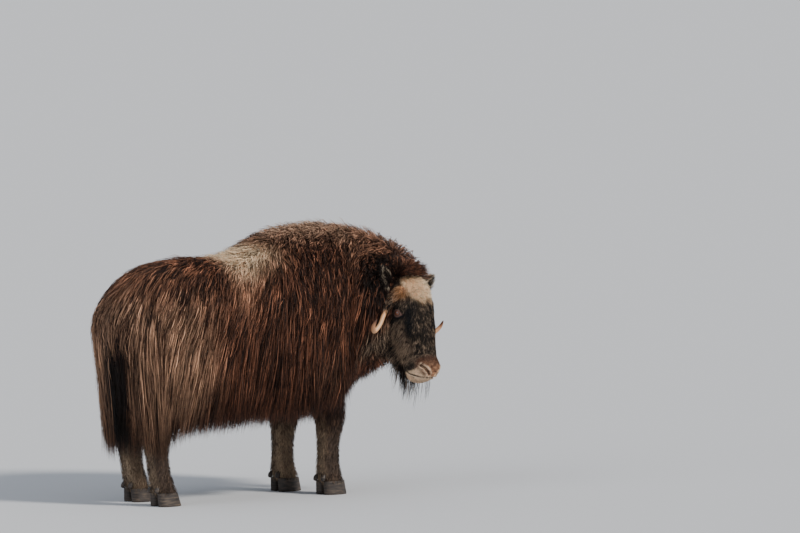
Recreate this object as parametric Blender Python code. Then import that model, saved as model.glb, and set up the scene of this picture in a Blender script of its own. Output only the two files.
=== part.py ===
"""A life-size muskox cow, standing, with her head turned to her right, as separate closed solids.

Metres, +Z up. She faces -Y, so her right side is -X, and her hooves rest on z = 0. The trunk is lofted
along a spine that runs straight to the withers and then bends to her right through the neck. The origin is
under the middle of her bounding box.
"""

import math
import random
from collections import namedtuple

import bmesh
import bpy
from mathutils import Matrix, Vector
from mathutils.bvhtree import BVHTree

GAP = 0.0003  # between touching pieces
WELD = 0.000003  # points this close become one
SEED = 8

# Spine
NECK_START = 0.34  # ahead of the saddle, where the neck starts to turn
NECK_RADIUS = 0.34
NECK_TURN = math.radians(76)
NECK_END = NECK_START + NECK_RADIUS * NECK_TURN

# Trunk sizes at places along the spine, from the saddle: negative is towards the tail.
# top is the height of the coat's tips over the back, belly the underside of the flesh, half_width reaches
# to the coat's tips at the side, and coat is its depth.
Place = namedtuple("Place", "along top belly half_width coat")
TRUNK = (
    Place(-0.690, 0.850, 0.660, 0.100, 0.040),
    Place(-0.668, 0.905, 0.620, 0.180, 0.050),
    Place(-0.615, 0.965, 0.580, 0.245, 0.060),
    Place(-0.530, 1.035, 0.540, 0.290, 0.060),
    Place(-0.350, 1.075, 0.500, 0.315, 0.055),
    Place(-0.100, 1.077, 0.470, 0.330, 0.050),
    Place(0.040, 1.118, 0.460, 0.335, 0.060),
    Place(0.180, 1.180, 0.455, 0.335, 0.070),
    Place(0.335, 1.205, 0.460, 0.325, 0.075),
    Place(0.500, 1.202, 0.510, 0.290, 0.075),
    Place(0.640, 1.172, 0.570, 0.265, 0.075),
    Place(NECK_END, 1.096, 0.640, 0.225, 0.070),
    Place(NECK_END + 0.030, 1.050, 0.690, 0.178, 0.070),
    Place(NECK_END + 0.050, 0.990, 0.740, 0.120, 0.050),
)
Hem = namedtuple("Hem", "along height")
HEMS = (  # heights of the coat's lowest tips along the spine
    Hem(-0.710, 0.240),
    Hem(-0.600, 0.240),
    Hem(-0.350, 0.300),
    Hem(0.100, 0.330),
    Hem(0.420, 0.360),
    Hem(0.640, 0.500),
    Hem(NECK_END + 0.050, 0.690),
)
WIDEST_SHARE = 0.50  # of the way from the belly to the back
RUMP_END = TRUNK[0].along
CROWN_END = TRUNK[-1].along
LOIN_CUT = -0.30
RIB_CUT = 0.13
NECK_CUT = 0.50
TRUNK_SIDES = 20
RING_STEP = 0.065

# Head frame: t runs down the face, front is towards the nose bridge, side is to her right
EYE_AHEAD = 0.079  # of the neck's end
EYE_HEIGHT = 0.797
FACE_LEAN = math.radians(17)  # from vertical
HEAD_ROLL = math.radians(4)  # her right side up
EYE_SIDE = 0.096
EYE_FRONT = 0.010
EYE_RADIUS = 0.0185
HeadPlace = namedtuple("HeadPlace", "along front back half_width")
HEAD = (
    HeadPlace(-0.182, 0.012, 0.030, 0.035),
    HeadPlace(-0.168, 0.045, 0.070, 0.072),
    HeadPlace(-0.135, 0.072, 0.105, 0.100),
    HeadPlace(-0.090, 0.088, 0.128, 0.112),
    HeadPlace(-0.040, 0.095, 0.142, 0.112),
    HeadPlace(0.020, 0.098, 0.150, 0.103),
    HeadPlace(0.080, 0.095, 0.146, 0.090),
    HeadPlace(0.140, 0.088, 0.125, 0.075),
    HeadPlace(0.193, 0.083, 0.098, 0.067),
    HeadPlace(0.240, 0.086, 0.078, 0.068),
    HeadPlace(0.270, 0.081, 0.068, 0.064),
    HeadPlace(0.293, 0.058, 0.052, 0.050),
    HeadPlace(0.307, 0.020, 0.028, 0.023),
)
MOUTH = (  # side, front, along: from the corner, round the lips, to the middle of the muzzle
    (0.054, -0.045, 0.236),
    (0.058, -0.024, 0.260),
    (0.051, 0.004, 0.280),
    (0.033, 0.026, 0.295),
    (0.000, 0.036, 0.300),
)
NOSTRIL = ((0.060, 0.050, 0.248), (0.047, 0.066, 0.268), (0.028, 0.062, 0.290))
NOSTRIL_WIDTH = 0.007
LIP_THICK = 0.010
MOUTH_SLOT = 0.0016
MOUTH_DEPTH = 0.014
LID_THICK = 0.0045
LID_REACH = 0.0155  # from the eye's middle to each corner of the lids
LID_OPEN = 0.0105
LID_SLIT = math.radians(26)  # of the lids' inner corners down the face, from square to it
EAR_ROOT = (0.098, -0.010, -0.102)
EAR_TIP = {1: (0.172, 0.024, -0.212), -1: (0.194, 0.024, -0.176)}  # her right ear is pricked higher
EAR_WIDTH = 0.030
EAR_WALL = 0.006
BEARD = ((0.024, 0.158), (0.032, 0.196), (0.016, 0.234))  # side and along, of each lock's root
BEARD_LENGTH = 0.085
BEARD_WIDTH = 0.034
BEARD_THICK = 0.008
FRINGE = (-0.030, 0.0, 0.030)  # side of each lock's root
FRINGE_PATH = ((0.050, -0.150), (0.082, -0.134), (0.099, -0.108), (0.108, -0.076))  # front and along
FRINGE_WIDTH = 0.038
FRINGE_THICK = 0.011
HORN = (  # side, front, along, radius
    (0.068, 0.034, -0.094, 0.029),
    (0.098, 0.024, -0.084, 0.025),
    (0.122, -0.006, -0.058, 0.0195),
    (0.137, -0.036, -0.013, 0.0145),
    (0.176, -0.044, 0.038, 0.0120),
    (0.210, -0.053, 0.067, 0.0110),
    (0.235, -0.029, 0.053, 0.0085),
    (0.238, -0.004, 0.034, 0.0030),
)

# Legs and hooves
HOOF_LENGTH = 0.118
HOOF_WIDTH = 0.108
HOOF_HEIGHT = 0.060
HOOF_SIDES = 16
CLEFT_WIDTH = 0.008
HOOF_LEAN = 0.012  # of the toes ahead of the leg
HOOF_RIM = 0.004  # the hoof's top is narrower than the foot by this
LegPlace = namedtuple("LegPlace", "height ahead half_depth half_width")
FORE_LEG = (
    LegPlace(0.620, -0.020, 0.085, 0.060),
    LegPlace(0.460, -0.020, 0.080, 0.062),
    LegPlace(0.340, 0.000, 0.064, 0.054),
    LegPlace(0.240, -0.008, 0.054, 0.047),
    LegPlace(0.150, -0.010, 0.053, 0.047),
    LegPlace(0.100, -0.006, 0.057, 0.052),
    LegPlace(HOOF_HEIGHT + GAP, 0.004, 0.056, 0.052),
)
HIND_LEG = (
    LegPlace(0.680, 0.020, 0.110, 0.065),
    LegPlace(0.500, -0.030, 0.088, 0.062),
    LegPlace(0.390, -0.052, 0.066, 0.052),
    LegPlace(0.270, -0.044, 0.056, 0.047),
    LegPlace(0.160, -0.030, 0.053, 0.046),
    LegPlace(0.100, -0.014, 0.055, 0.050),
    LegPlace(HOOF_HEIGHT + GAP, 0.000, 0.053, 0.049),
)
STANCE = {  # the leg's sizes, and where its hoof stands, ahead of the saddle and to her right
    "fore_right": (FORE_LEG, 0.400, 0.125),
    "fore_left": (FORE_LEG, 0.334, -0.120),
    "hind_right": (HIND_LEG, -0.510, 0.125),
    "hind_left": (HIND_LEG, -0.470, -0.125),
}
TAIL = (  # ahead, height, radius
    (-0.620, 0.870, 0.018),
    (-0.664, 0.846, 0.018),
    (-0.692, 0.810, 0.016),
    (-0.698, 0.760, 0.007),
)

# Coat locks of the trunk
CORE_SHARE = 0.5  # of the coat's depth is left off for the core that the locks grow from
Tier = namedtuple("Tier", "angle length")
TIERS = (  # degrees from the middle of the back, and the lock's length there
    Tier(0, 0.24),
    Tier(31, 0.26),
    Tier(60, 0.34),
    Tier(86, 0.56),
    Tier(108, 0.56),
)
LOCK_SPACING = 0.128  # along a tier
LOCK_WIDTH = 0.172
INNER_SHARE = 0.7  # of the way along the spine counts as the least distance between two locks
ROOT_STEPS = 60
STAGGER = (0.55, 0.15)  # of the spacing, from the front of a node to its first lock, in every other tier
MOST_PUSHED = 0.025  # by an obstacle before a lock is made shorter
SHORTER = (1, 0.7, 0.5, 0.35)
LOCK_THICK = 0.024
LOCK_SHAPE = ((0.0, 0.8), (0.4, 1.0), (0.8, 0.65), (1.0, 0.0))  # shares of the length and of the width
STEPS_ALONG_LOCK = 20
ROOT_DEPTH = 0.014
BACKWARD = 0.35  # lean of the lie, where straight down is 1
HANG_SHARE = 0.2  # of the lean, where the hair hangs free
UPRIGHT_BAND = 0.25  # ahead of a cut the lie turns upright over this length, to cover the surface behind it
DEEPEST = 0.06  # inside an obstacle that a lock is pushed out of

COLOURS = {
    "coat": ((0.085, 0.045, 0.030), 0.90),
    "face": ((0.050, 0.036, 0.028), 0.85),
    "stocking": ((0.230, 0.180, 0.135), 0.90),
    "horn": ((0.620, 0.430, 0.270), 0.45),
    "hoof": ((0.035, 0.028, 0.024), 0.50),
    "eye": ((0.030, 0.014, 0.008), 0.10),
}


def clear_scene():
    for obj in list(bpy.data.objects):
        bpy.data.objects.remove(obj)


def new_collection(name):
    group = bpy.data.collections.new(name)
    bpy.context.scene.collection.children.link(group)
    return group


def material(name):
    found = bpy.data.materials.get(name)
    if found:
        return found
    made = bpy.data.materials.new(name)
    made.use_nodes = True
    colour, roughness = COLOURS[name]
    shader = made.node_tree.nodes["Principled BSDF"]
    shader.inputs["Base Color"].default_value = (*colour, 1)
    shader.inputs["Roughness"].default_value = roughness
    shader.inputs["Metallic"].default_value = 0
    return made


def smooth_row(rows, along, at=0):
    """The row of sizes at a place, read from a smooth curve through the rows. at is the place's column."""
    places = [row[at] for row in rows]
    step = max(0, min(len(rows) - 2, sum(place <= along for place in places) - 1))
    near, far = rows[step], rows[step + 1]
    before, after = rows[max(step - 1, 0)], rows[min(step + 2, len(rows) - 1)]
    span = far[at] - near[at]
    share = (along - near[at]) / span
    values = []
    for column in range(len(near)):
        slope_in = (far[column] - before[column]) / (far[at] - before[at]) * span
        slope_out = (after[column] - near[column]) / (after[at] - near[at]) * span
        rise = far[column] - near[column]
        bend = slope_in * (share - 2 * share**2 + share**3) + slope_out * (share**3 - share**2)
        values.append(near[column] + rise * (3 * share**2 - 2 * share**3) + bend)
    return type(near)(*values) if hasattr(near, "_fields") else tuple(values)


def power(value, exponent):
    return math.copysign(abs(value) ** exponent, value)


def spine_frame(along):
    """(point on the floor under the spine, heading, her right) at a place along the spine."""
    turn = min(max(0.0, along - NECK_START) / NECK_RADIUS, NECK_TURN)
    ahead = min(along, NECK_START) + NECK_RADIUS * math.sin(turn)
    right = NECK_RADIUS * (1 - math.cos(turn))
    heading = Vector((-math.sin(turn), -math.cos(turn), 0))
    floor = Vector((-right, -ahead, 0)) + heading * max(0.0, along - NECK_END)
    return floor, heading, Vector((heading.y, -heading.x, 0))


def trunk_point(along, angle, shaved):
    """A point of the trunk's section: angle 0 is over the back and a quarter turn is her right side.
    shaved is the share of the coat's depth that is left off."""
    place = smooth_row(TRUNK, along)
    floor, _, right = spine_frame(along)
    middle = place.belly + (place.top - place.belly) * WIDEST_SHARE
    side = (place.half_width - shaved * place.coat) * power(math.sin(angle), 2 / 2.2)
    rise = math.cos(angle)
    reach = place.top - shaved * place.coat - middle if rise > 0 else middle - place.belly
    return floor + right * side + Vector((0, 0, middle + reach * power(rise, 2 / 2.1)))


class HeadFrame:
    """Her head's own directions, and the way from them to the object's."""

    def __init__(self):
        floor, heading, right = spine_frame(NECK_END)
        up = Vector((0, 0, 1))
        self.right = right * math.cos(HEAD_ROLL) + up * math.sin(HEAD_ROLL)
        crown = up * math.cos(HEAD_ROLL) - right * math.sin(HEAD_ROLL)
        self.down_face = heading * math.sin(FACE_LEAN) - crown * math.cos(FACE_LEAN)
        self.front = heading * math.cos(FACE_LEAN) + crown * math.sin(FACE_LEAN)
        self.between_eyes = floor + heading * EYE_AHEAD + up * EYE_HEIGHT

    def point(self, side, front, along):
        return self.between_eyes + self.direction(side, front, along)

    def direction(self, side, front, along):
        return self.right * side + self.front * front + self.down_face * along


HEAD_FRAME = HeadFrame()


def head_ring(along, count):
    place = smooth_row(HEAD, along)
    ring = []
    for k in range(count):
        angle = math.tau * k / count
        side = place.half_width * power(math.sin(angle), 2 / 2.2)
        rise = math.cos(angle)
        front = place.front * power(rise, 2 / 2.5) if rise > 0 else place.back * power(rise, 2 / 1.9)
        ring.append((side, front, along))
    return ring


def new_object(name, mesh, colour, group):
    obj = bpy.data.objects.new(name, mesh)
    obj.data.materials.append(material(colour))
    group.objects.link(obj)
    return obj


def loft(name, rings, colour, group):
    """One closed mesh through rings of points, with flat ends."""
    shape = bmesh.new()
    rows = [[shape.verts.new(point) for point in ring] for ring in rings]
    count = len(rows[0])
    for here, there in zip(rows, rows[1:]):
        for k in range(count):
            shape.faces.new((here[k], here[(k + 1) % count], there[(k + 1) % count], there[k]))
    shape.faces.new(rows[0])
    shape.faces.new(rows[-1])
    bmesh.ops.recalc_face_normals(shape, faces=shape.faces)
    bmesh.ops.triangulate(shape, faces=shape.faces)
    mesh = bpy.data.meshes.new(name)
    shape.to_mesh(mesh)
    shape.free()
    mesh.shade_smooth()
    mesh.set_sharp_from_angle(angle=math.radians(50))
    return new_object(name, mesh, colour, group)


def path_rings(points, across, along_face, sides, face_up):
    """Rings square to a path. across and along_face are the half sizes at each point: across is measured
    square to face_up, and along_face towards it."""
    rings = []
    for k, point in enumerate(points):
        ahead = (points[min(k + 1, len(points) - 1)] - points[max(k - 1, 0)]).normalized()
        beside = ahead.cross(face_up).normalized()
        over = beside.cross(ahead)
        ring = []
        for n in range(sides):
            angle = math.tau * n / sides
            ring.append(point + beside * across[k] * math.cos(angle) + over * along_face[k] * math.sin(angle))
        rings.append(ring)
    return rings


def apply_modifiers(obj):
    graph = bpy.context.evaluated_depsgraph_get()
    mesh = bpy.data.meshes.new_from_object(obj.evaluated_get(graph))
    obj.modifiers.clear()
    obj.data = mesh


def boolean(obj, operation, other, solver="EXACT"):
    """Joins or cuts obj with an object or a collection, and removes what it used."""
    change = obj.modifiers.new("change", "BOOLEAN")
    change.operation = operation
    change.solver = solver
    used = [other]
    if isinstance(other, bpy.types.Collection):
        change.operand_type = "COLLECTION"
        change.collection = other
        used = list(other.objects)
    else:
        change.object = other
    apply_modifiers(obj)
    for piece in used:
        bpy.data.objects.remove(piece)


def copy_of(obj, group, swell=0.0):
    """A copy whose surface stands swell outside the first one's."""
    twin = obj.copy()
    twin.data = obj.data.copy()
    group.objects.link(twin)
    shape = bmesh.new()
    shape.from_mesh(twin.data)
    shape.normal_update()
    moved = [vert.co + vert.normal * swell * vert.calc_shell_factor() for vert in shape.verts]
    for vert, place in zip(shape.verts, moved):
        vert.co = place
    shape.to_mesh(twin.data)
    shape.free()
    return twin


def cut_clear(obj, neighbour, group, gap=GAP, solver="EXACT"):
    boolean(obj, "DIFFERENCE", copy_of(neighbour, group, gap), solver)


def keep_largest(obj):
    """Drops every closed surface but the largest, so that a node is one body."""
    shape = bmesh.new()
    shape.from_mesh(obj.data)
    bmesh.ops.remove_doubles(shape, verts=shape.verts, dist=WELD)
    bmesh.ops.dissolve_degenerate(shape, edges=shape.edges, dist=WELD)
    bmesh.ops.triangulate(shape, faces=shape.faces)
    seen = set()
    bodies = []
    for start in shape.faces:
        if start in seen:
            continue
        body, waiting = [], [start]
        seen.add(start)
        while waiting:
            face = waiting.pop()
            body.append(face)
            for edge in face.edges:
                across = [other for other in edge.link_faces if other not in seen]
                if len(edge.link_faces) == 2:
                    seen.update(across)
                    waiting += across
        bodies.append(body)
    bodies.sort(key=len)
    for body in bodies[:-1]:
        bmesh.ops.delete(shape, geom=body, context="FACES")
    shape.to_mesh(obj.data)
    shape.free()


def ball(name, centre, radii, turn, group, colour="coat", segments=16):
    bpy.ops.mesh.primitive_uv_sphere_add(segments=segments, ring_count=segments * 5 // 8, radius=1)
    obj = bpy.context.active_object
    obj.name = name
    for home in list(obj.users_collection):
        home.objects.unlink(obj)
    group.objects.link(obj)
    obj.data.transform(Matrix.Translation(centre) @ turn.to_4x4() @ Matrix.Diagonal((*radii, 1)))
    obj.data.materials.append(material(colour))
    obj.data.shade_smooth()
    return obj


def axes(first, second):
    """A rotation whose first two axes are these two directions, the second made square to the first."""
    x_axis = first.normalized()
    z_axis = x_axis.cross(second).normalized()
    return Matrix((x_axis, z_axis.cross(x_axis), z_axis)).transposed()


def trunk_form(name, start, end, group):
    """The core of a length of the trunk. It starts GAP ahead of its section, clear of the length behind."""
    steps = max(3, round((end - start) / RING_STEP))
    rings = []
    for k in range(steps + 1):
        along = start + (end - start) * k / steps
        ahead = spine_frame(along)[1] * (GAP if k == 0 and start > RUMP_END else 0)
        angles = [math.tau * n / TRUNK_SIDES for n in range(TRUNK_SIDES)]
        rings.append([trunk_point(along, angle, CORE_SHARE) + ahead for angle in angles])
    return loft(name, rings, "coat", group)


def surface_of(objects):
    """One search tree over the surfaces of these objects."""
    points, faces = [], []
    for obj in objects:
        first = len(points)
        points += [vert.co.copy() for vert in obj.data.vertices]
        faces += [[first + index for index in face.vertices] for face in obj.data.polygons]
    return BVHTree.FromPolygons(points, faces)


def pushed_out(place, surface, clearance, deepest=DEEPEST):
    """The place moved to at least clearance outside a surface, and the surface's normal there."""
    near, normal, _, distance = surface.find_nearest(place)
    outside = (place - near).dot(normal) > 0
    if distance >= clearance and (outside or distance > deepest):
        return place, normal
    return near + normal * clearance, normal


def lie_of_coat(normal, heading, backward):
    """The way the hair runs: down and backwards, along the surface."""
    outward = Vector((normal.x, normal.y, max(normal.z, 0))).normalized()
    flow = Vector((0, 0, -1)) - heading * backward
    return (flow - outward * flow.dot(outward)).normalized()


def lock_path(root, normal, heading, lean, length, reach, trunk, obstacles, planes):
    """Points from a lock's root to its tip, each with its outward direction, and how far the obstacles pushed
    it. It lies on the trunk, rises to reach at its tip, and passes outside the obstacles and inside the
    planes."""
    path = [(root - normal * ROOT_DEPTH, normal)]
    place = root
    pushed = 0
    widths = dict(LOCK_SHAPE)
    for step in range(1, STEPS_ALONG_LOCK + 1):
        share = step / STEPS_ALONG_LOCK
        lifted = reach * share**0.7
        free = (place - trunk.find_nearest(place)[0]).length > reach + 0.01
        lie = lie_of_coat(normal, heading, lean * (HANG_SHARE if free else 1))
        place = place + lie * length / STEPS_ALONG_LOCK
        place, normal = pushed_out(place, trunk, lifted, 1)
        for obstacle in obstacles:
            clear, _ = pushed_out(place, obstacle, LOCK_THICK + reach / 4)
            pushed = max(pushed, (clear - place).length)
            place = clear
        for origin, inward in planes:
            short = LOCK_WIDTH * 0.36 * (1 - share) + 2 * GAP - (place - origin).dot(inward)
            place = place + inward * max(short, 0)
        if round(share, 3) in widths:
            path.append((place, normal))
    return path, pushed


def lock(path, width, thick, group, colour="coat"):
    """A flat tapered lock, ridged along its outer side, closed at its root and pointed at its tip."""
    shape = bmesh.new()
    rings = []
    for k, (place, normal) in enumerate(path[:-1]):
        ahead = (path[k + 1][0] - path[max(k - 1, 0)][0]).normalized()
        beside = ahead.cross(normal).normalized() * (width / 2 * LOCK_SHAPE[k][1])
        over = beside.cross(ahead).normalized() * (thick * (1 - 0.5 * LOCK_SHAPE[k][0]))
        corners = (beside - over / 3, over, -beside - over / 3)
        rings.append([shape.verts.new(place + corner) for corner in corners])
    tip = shape.verts.new(path[-1][0])
    for here, there in zip(rings, rings[1:]):
        for k in range(3):
            shape.faces.new((here[k], here[(k + 1) % 3], there[(k + 1) % 3], there[k]))
    for k in range(3):
        shape.faces.new((rings[-1][k], rings[-1][(k + 1) % 3], tip))
    shape.faces.new(rings[0])
    bmesh.ops.recalc_face_normals(shape, faces=shape.faces)
    bmesh.ops.triangulate(shape, faces=shape.faces)
    mesh = bpy.data.meshes.new("lock")
    shape.to_mesh(mesh)
    shape.free()
    return new_object("lock", mesh, colour, group)


def trim(obj, origin, inward):
    """Cuts away what lies behind a plane, and closes the cut."""
    if min((vert.co - origin).dot(inward) for vert in obj.data.vertices) >= 0:
        return
    shape = bmesh.new()
    shape.from_mesh(obj.data)
    everything = shape.verts[:] + shape.edges[:] + shape.faces[:]
    bmesh.ops.bisect_plane(shape, geom=everything, plane_co=origin, plane_no=inward, clear_inner=True)
    open_edges = [edge for edge in shape.edges if len(edge.link_faces) == 1]
    bmesh.ops.holes_fill(shape, edges=open_edges)
    bmesh.ops.recalc_face_normals(shape, faces=shape.faces)
    bmesh.ops.triangulate(shape, faces=shape.faces)
    shape.to_mesh(obj.data)
    shape.free()


def meets(obj, surface):
    return bool(surface_of([obj]).overlap(surface))


def section_plane(along, towards):
    """A cut across the spine that a node's locks keep inside, as a point and the direction inward."""
    origin, heading, _ = spine_frame(along)
    return origin + heading * towards * GAP * (1.5 if towards > 0 else 0.5), heading * towards


def lock_roots(start, end, tier, side, stagger):
    """Places spread evenly along one tier, about LOCK_SPACING apart on the surface, and closer than that on
    the inner side of the bend, where the locks would be few."""
    step = (end - start) / ROOT_STEPS
    places = [end - step * k for k in range(ROOT_STEPS + 1)]
    points = [trunk_point(along, side * math.radians(tier.angle), CORE_SHARE) for along in places]
    walked = [0.0]
    for here, there in zip(points, points[1:]):
        walked.append(walked[-1] + max((there - here).length, step * INNER_SHARE))
    count = max(1, round(walked[-1] / LOCK_SPACING))
    for k in range(count):
        nearest = min(range(len(walked)), key=lambda n: abs(walked[n] - walked[-1] * (k + stagger) / count))
        yield places[nearest], points[nearest]


def grow_coat(core, start, end, trunk, hulls, group, draw):
    """Joins the locks of one length of the trunk to its core."""
    locks = new_collection(core.name + "_locks")
    surfaces = [surface_of([hull]) for hull in hulls]
    planes = []
    if start > RUMP_END:
        planes.append(section_plane(start, 1))
    if end < CROWN_END:
        planes.append(section_plane(end, -1))
    for row, tier in enumerate(TIERS):
        for side in (1, -1) if tier.angle else (1,):
            for along, root in lock_roots(start, end, tier, side, STAGGER[row % 2]):
                piece = grow_lock(along, end, root, tier, trunk, surfaces, planes, locks, draw)
                if piece:
                    finish_lock(piece, hulls, surfaces, planes, group, GAP * draw.uniform(1, 3))
    boolean(core, "UNION", locks, "MANIFOLD")
    keep_largest(core)


def grow_lock(along, end, root, tier, trunk, surfaces, planes, locks, draw):
    near, normal, _, _ = trunk.find_nearest(root)
    place = smooth_row(TRUNK, along)
    heading = spine_frame(along)[1]
    hem = smooth_row(HEMS, along).height
    length = min(tier.length, root.z - hem) * draw.uniform(0.88, 1.04)
    start = near + normal * LOCK_THICK
    if any(pushed_out(start, surface, LOCK_THICK)[0] != start for surface in surfaces):
        return None
    lean = BACKWARD * draw.uniform(0.7, 1.3)
    if end < CROWN_END:
        lean *= min(1, (end - along) / UPRIGHT_BAND)
    reach = place.coat * CORE_SHARE * draw.uniform(0.85, 1)
    width = LOCK_WIDTH * draw.uniform(0.85, 1.1)
    for share in SHORTER:
        path, pushed = lock_path(near, normal, heading, lean, length * share, reach, trunk, surfaces, planes)
        if pushed <= MOST_PUSHED:
            return lock(path, width * math.sqrt(share), LOCK_THICK, locks)
    return None


def finish_lock(piece, hulls, surfaces, planes, group, gap):
    """Cuts a lock clear of its neighbours where it still meets them. Each lock keeps a gap of its own,
    because two cuts in one plane would touch along an edge."""
    for hull, surface in zip(hulls, surfaces):
        if meets(piece, surface):
            cut_clear(piece, hull, group, gap, "MANIFOLD")
    for origin, inward in planes:
        if len(piece.data.vertices):
            trim(piece, origin + inward * (gap - GAP), inward)
    if not len(piece.data.vertices):
        bpy.data.objects.remove(piece)


def mirrored(points, side):
    return [(side * point[0], *point[1:]) for point in points]


def head_tube(name, points, radii, sides, group, colour="face"):
    """A tapered round piece along points given in the head's frame."""
    path = [HEAD_FRAME.point(*point[:3]) for point in points]
    face_up = HEAD_FRAME.front + HEAD_FRAME.right * 0.1
    return loft(name, path_rings(path, radii, radii, sides, face_up), colour, group)


def smooth_path(points, count):
    """Points read from a smooth curve through a few, the first column of each being only a place."""
    rows = [(k, *point) for k, point in enumerate(points)]
    last = len(points) - 1
    return [smooth_row(rows, last * k / (count - 1))[1:] for k in range(count)]


def eye_centre(side):
    return HEAD_FRAME.point(side * EYE_SIDE, EYE_FRONT, 0)


def lid(side, over, group):
    """A curved lid over or under the eyeball, thin at its two corners."""
    turn = 1 if over else -1
    points, radii = [], []
    for k in range(6):
        swing = math.pi * k / 5
        rise = math.sin(swing) * (LID_OPEN if over else LID_OPEN * 0.9) * turn
        run = math.cos(swing) * LID_REACH
        front = run * math.cos(LID_SLIT) + rise * math.sin(LID_SLIT)
        along = run * math.sin(LID_SLIT) - rise * math.cos(LID_SLIT)
        out = math.sqrt(max((EYE_RADIUS + 0.001)**2 - front**2 - along**2, 0))
        points.append((side * (EYE_SIDE + out), EYE_FRONT + front, along))
        radii.append(LID_THICK * (0.45 + 0.55 * math.sin(swing)))
    return head_tube("lid", points, radii, 5, group)


def head_core(group):
    count = 15
    rings = []
    for k in range(count):
        along = HEAD[0].along + (HEAD[-1].along - HEAD[0].along) * k / (count - 1)
        rings.append([HEAD_FRAME.point(*point) for point in head_ring(along, 18)])
    return loft("head", rings, "face", group)


def mouth_path():
    """Points along the mouth, from her right corner round the front to her left one."""
    half = smooth_path(MOUTH, 7)
    return half + mirrored(half, -1)[-2::-1]


def lips(group):
    path = mouth_path()
    last = len(path) - 1
    radii = [LIP_THICK * (0.5 + 0.5 * math.sin(math.pi * (0.1 + 0.8 * k / last))) for k in range(last + 1)]
    return head_tube("lips", path, radii, 6, group)


def mouth_cut(group):
    """A thin curved slot along the mouth, deeper than it is wide."""
    path = [HEAD_FRAME.point(*point) for point in mouth_path()]
    rings = []
    for k, point in enumerate(path):
        ahead = (path[min(k + 1, len(path) - 1)] - path[max(k - 1, 0)]).normalized()
        inwards = HEAD_FRAME.point(0, -0.01, 0.235) - point
        inwards = (inwards - ahead * inwards.dot(ahead)).normalized()
        across = ahead.cross(inwards) * MOUTH_SLOT
        deep = inwards * MOUTH_DEPTH
        rings.append([point - deep, point + across, point + deep, point - across])
    return loft("mouth", rings, "face", group)


def nostril_cut(side, group):
    points = smooth_path(mirrored(NOSTRIL, side), 5)
    radii = [NOSTRIL_WIDTH * (0.5 + 0.5 * math.sin(math.pi * k / 4)) for k in range(5)]
    return head_tube("nostril", points, radii, 6, group)


def beard_lock(side, along, group):
    """A lock that hangs from the underside of the jaw, its tip swept back a little."""
    back = smooth_row(HEAD, along).back
    root = HEAD_FRAME.point(side, -back * 0.75, along)
    outward = HEAD_FRAME.direction(math.copysign(1, side), -0.4, 0)
    path = []
    for share, _ in LOCK_SHAPE:
        swept = HEAD_FRAME.direction(0, -0.3 * share**2 * BEARD_LENGTH, 0)
        path.append((root + Vector((0, 0, -share * (BEARD_LENGTH + back * 0.25))) + swept, outward))
    return lock(path, BEARD_WIDTH, BEARD_THICK, group, "face")


def fringe_lock(side, group):
    """A lock that hangs from the poll over the forehead."""
    outward = HEAD_FRAME.direction(0, 1, -0.6).normalized()
    path = [(HEAD_FRAME.point(side, *place), outward) for place in FRINGE_PATH]
    return lock(path, FRINGE_WIDTH, FRINGE_THICK, group, "face")


def make_head(parts, cutters):
    """The head, and a plain copy of its form that its neighbours are cut clear of."""
    head = head_core(parts)
    hull = copy_of(head, cutters)
    extras = new_collection("head_extras")
    lips(extras)
    for side in (-1, 1):
        lid(side, True, extras)
        lid(side, False, extras)
        for across, along in BEARD:
            beard_lock(side * across, along, extras)
    for across in FRINGE:
        fringe_lock(across, extras)
    boolean(head, "UNION", extras, "MANIFOLD")
    boolean(head, "DIFFERENCE", mouth_cut(cutters), "MANIFOLD")
    for side in (-1, 1):
        boolean(head, "DIFFERENCE", nostril_cut(side, cutters), "MANIFOLD")
        socket_size = [EYE_RADIUS + GAP] * 3
        socket = ball("socket", eye_centre(side), socket_size, Matrix.Identity(3), cutters, segments=14)
        boolean(head, "DIFFERENCE", socket, "MANIFOLD")
    keep_largest(head)
    return hull


def make_eye(name, side, parts):
    return ball(name, eye_centre(side), [EYE_RADIUS] * 3, Matrix.Identity(3), parts, "eye", 14)


def make_horn(name, side, head, parts, cutters):
    rows = smooth_path(mirrored(HORN, side), 13)
    horn = head_tube(name, rows, [row[3] for row in rows], 10, parts, "horn")
    hull = copy_of(horn, cutters)
    cut_clear(horn, head, cutters)
    keep_largest(horn)
    return hull


def make_ear(name, side, neighbours, parts, cutters):
    """A cupped ear: a leaf that narrows at its root and tip, hollowed on the side that faces forward."""
    root = HEAD_FRAME.point(*mirrored([EAR_ROOT], side)[0])
    tip = HEAD_FRAME.point(*mirrored([EAR_TIP[side]], side)[0])
    length = (tip - root).length
    turn = axes(tip - root, HEAD_FRAME.front)
    middle = (root + tip) / 2
    ear = ball(name, middle, (length / 2, EAR_WIDTH * 0.62, EAR_WIDTH), turn, parts, "coat", 14)
    hull = copy_of(ear, cutters)
    cup_middle = middle + (tip - root) * 0.06 + turn.col[1] * EAR_WIDTH * 0.42
    cup_size = (length / 2 - EAR_WALL * 2, EAR_WIDTH * 0.62, EAR_WIDTH - EAR_WALL)
    boolean(ear, "DIFFERENCE", ball("cup", cup_middle, cup_size, turn, cutters, "coat", 12))
    for neighbour in neighbours:
        cut_clear(ear, neighbour, cutters)
    keep_largest(ear)
    return hull


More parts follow.
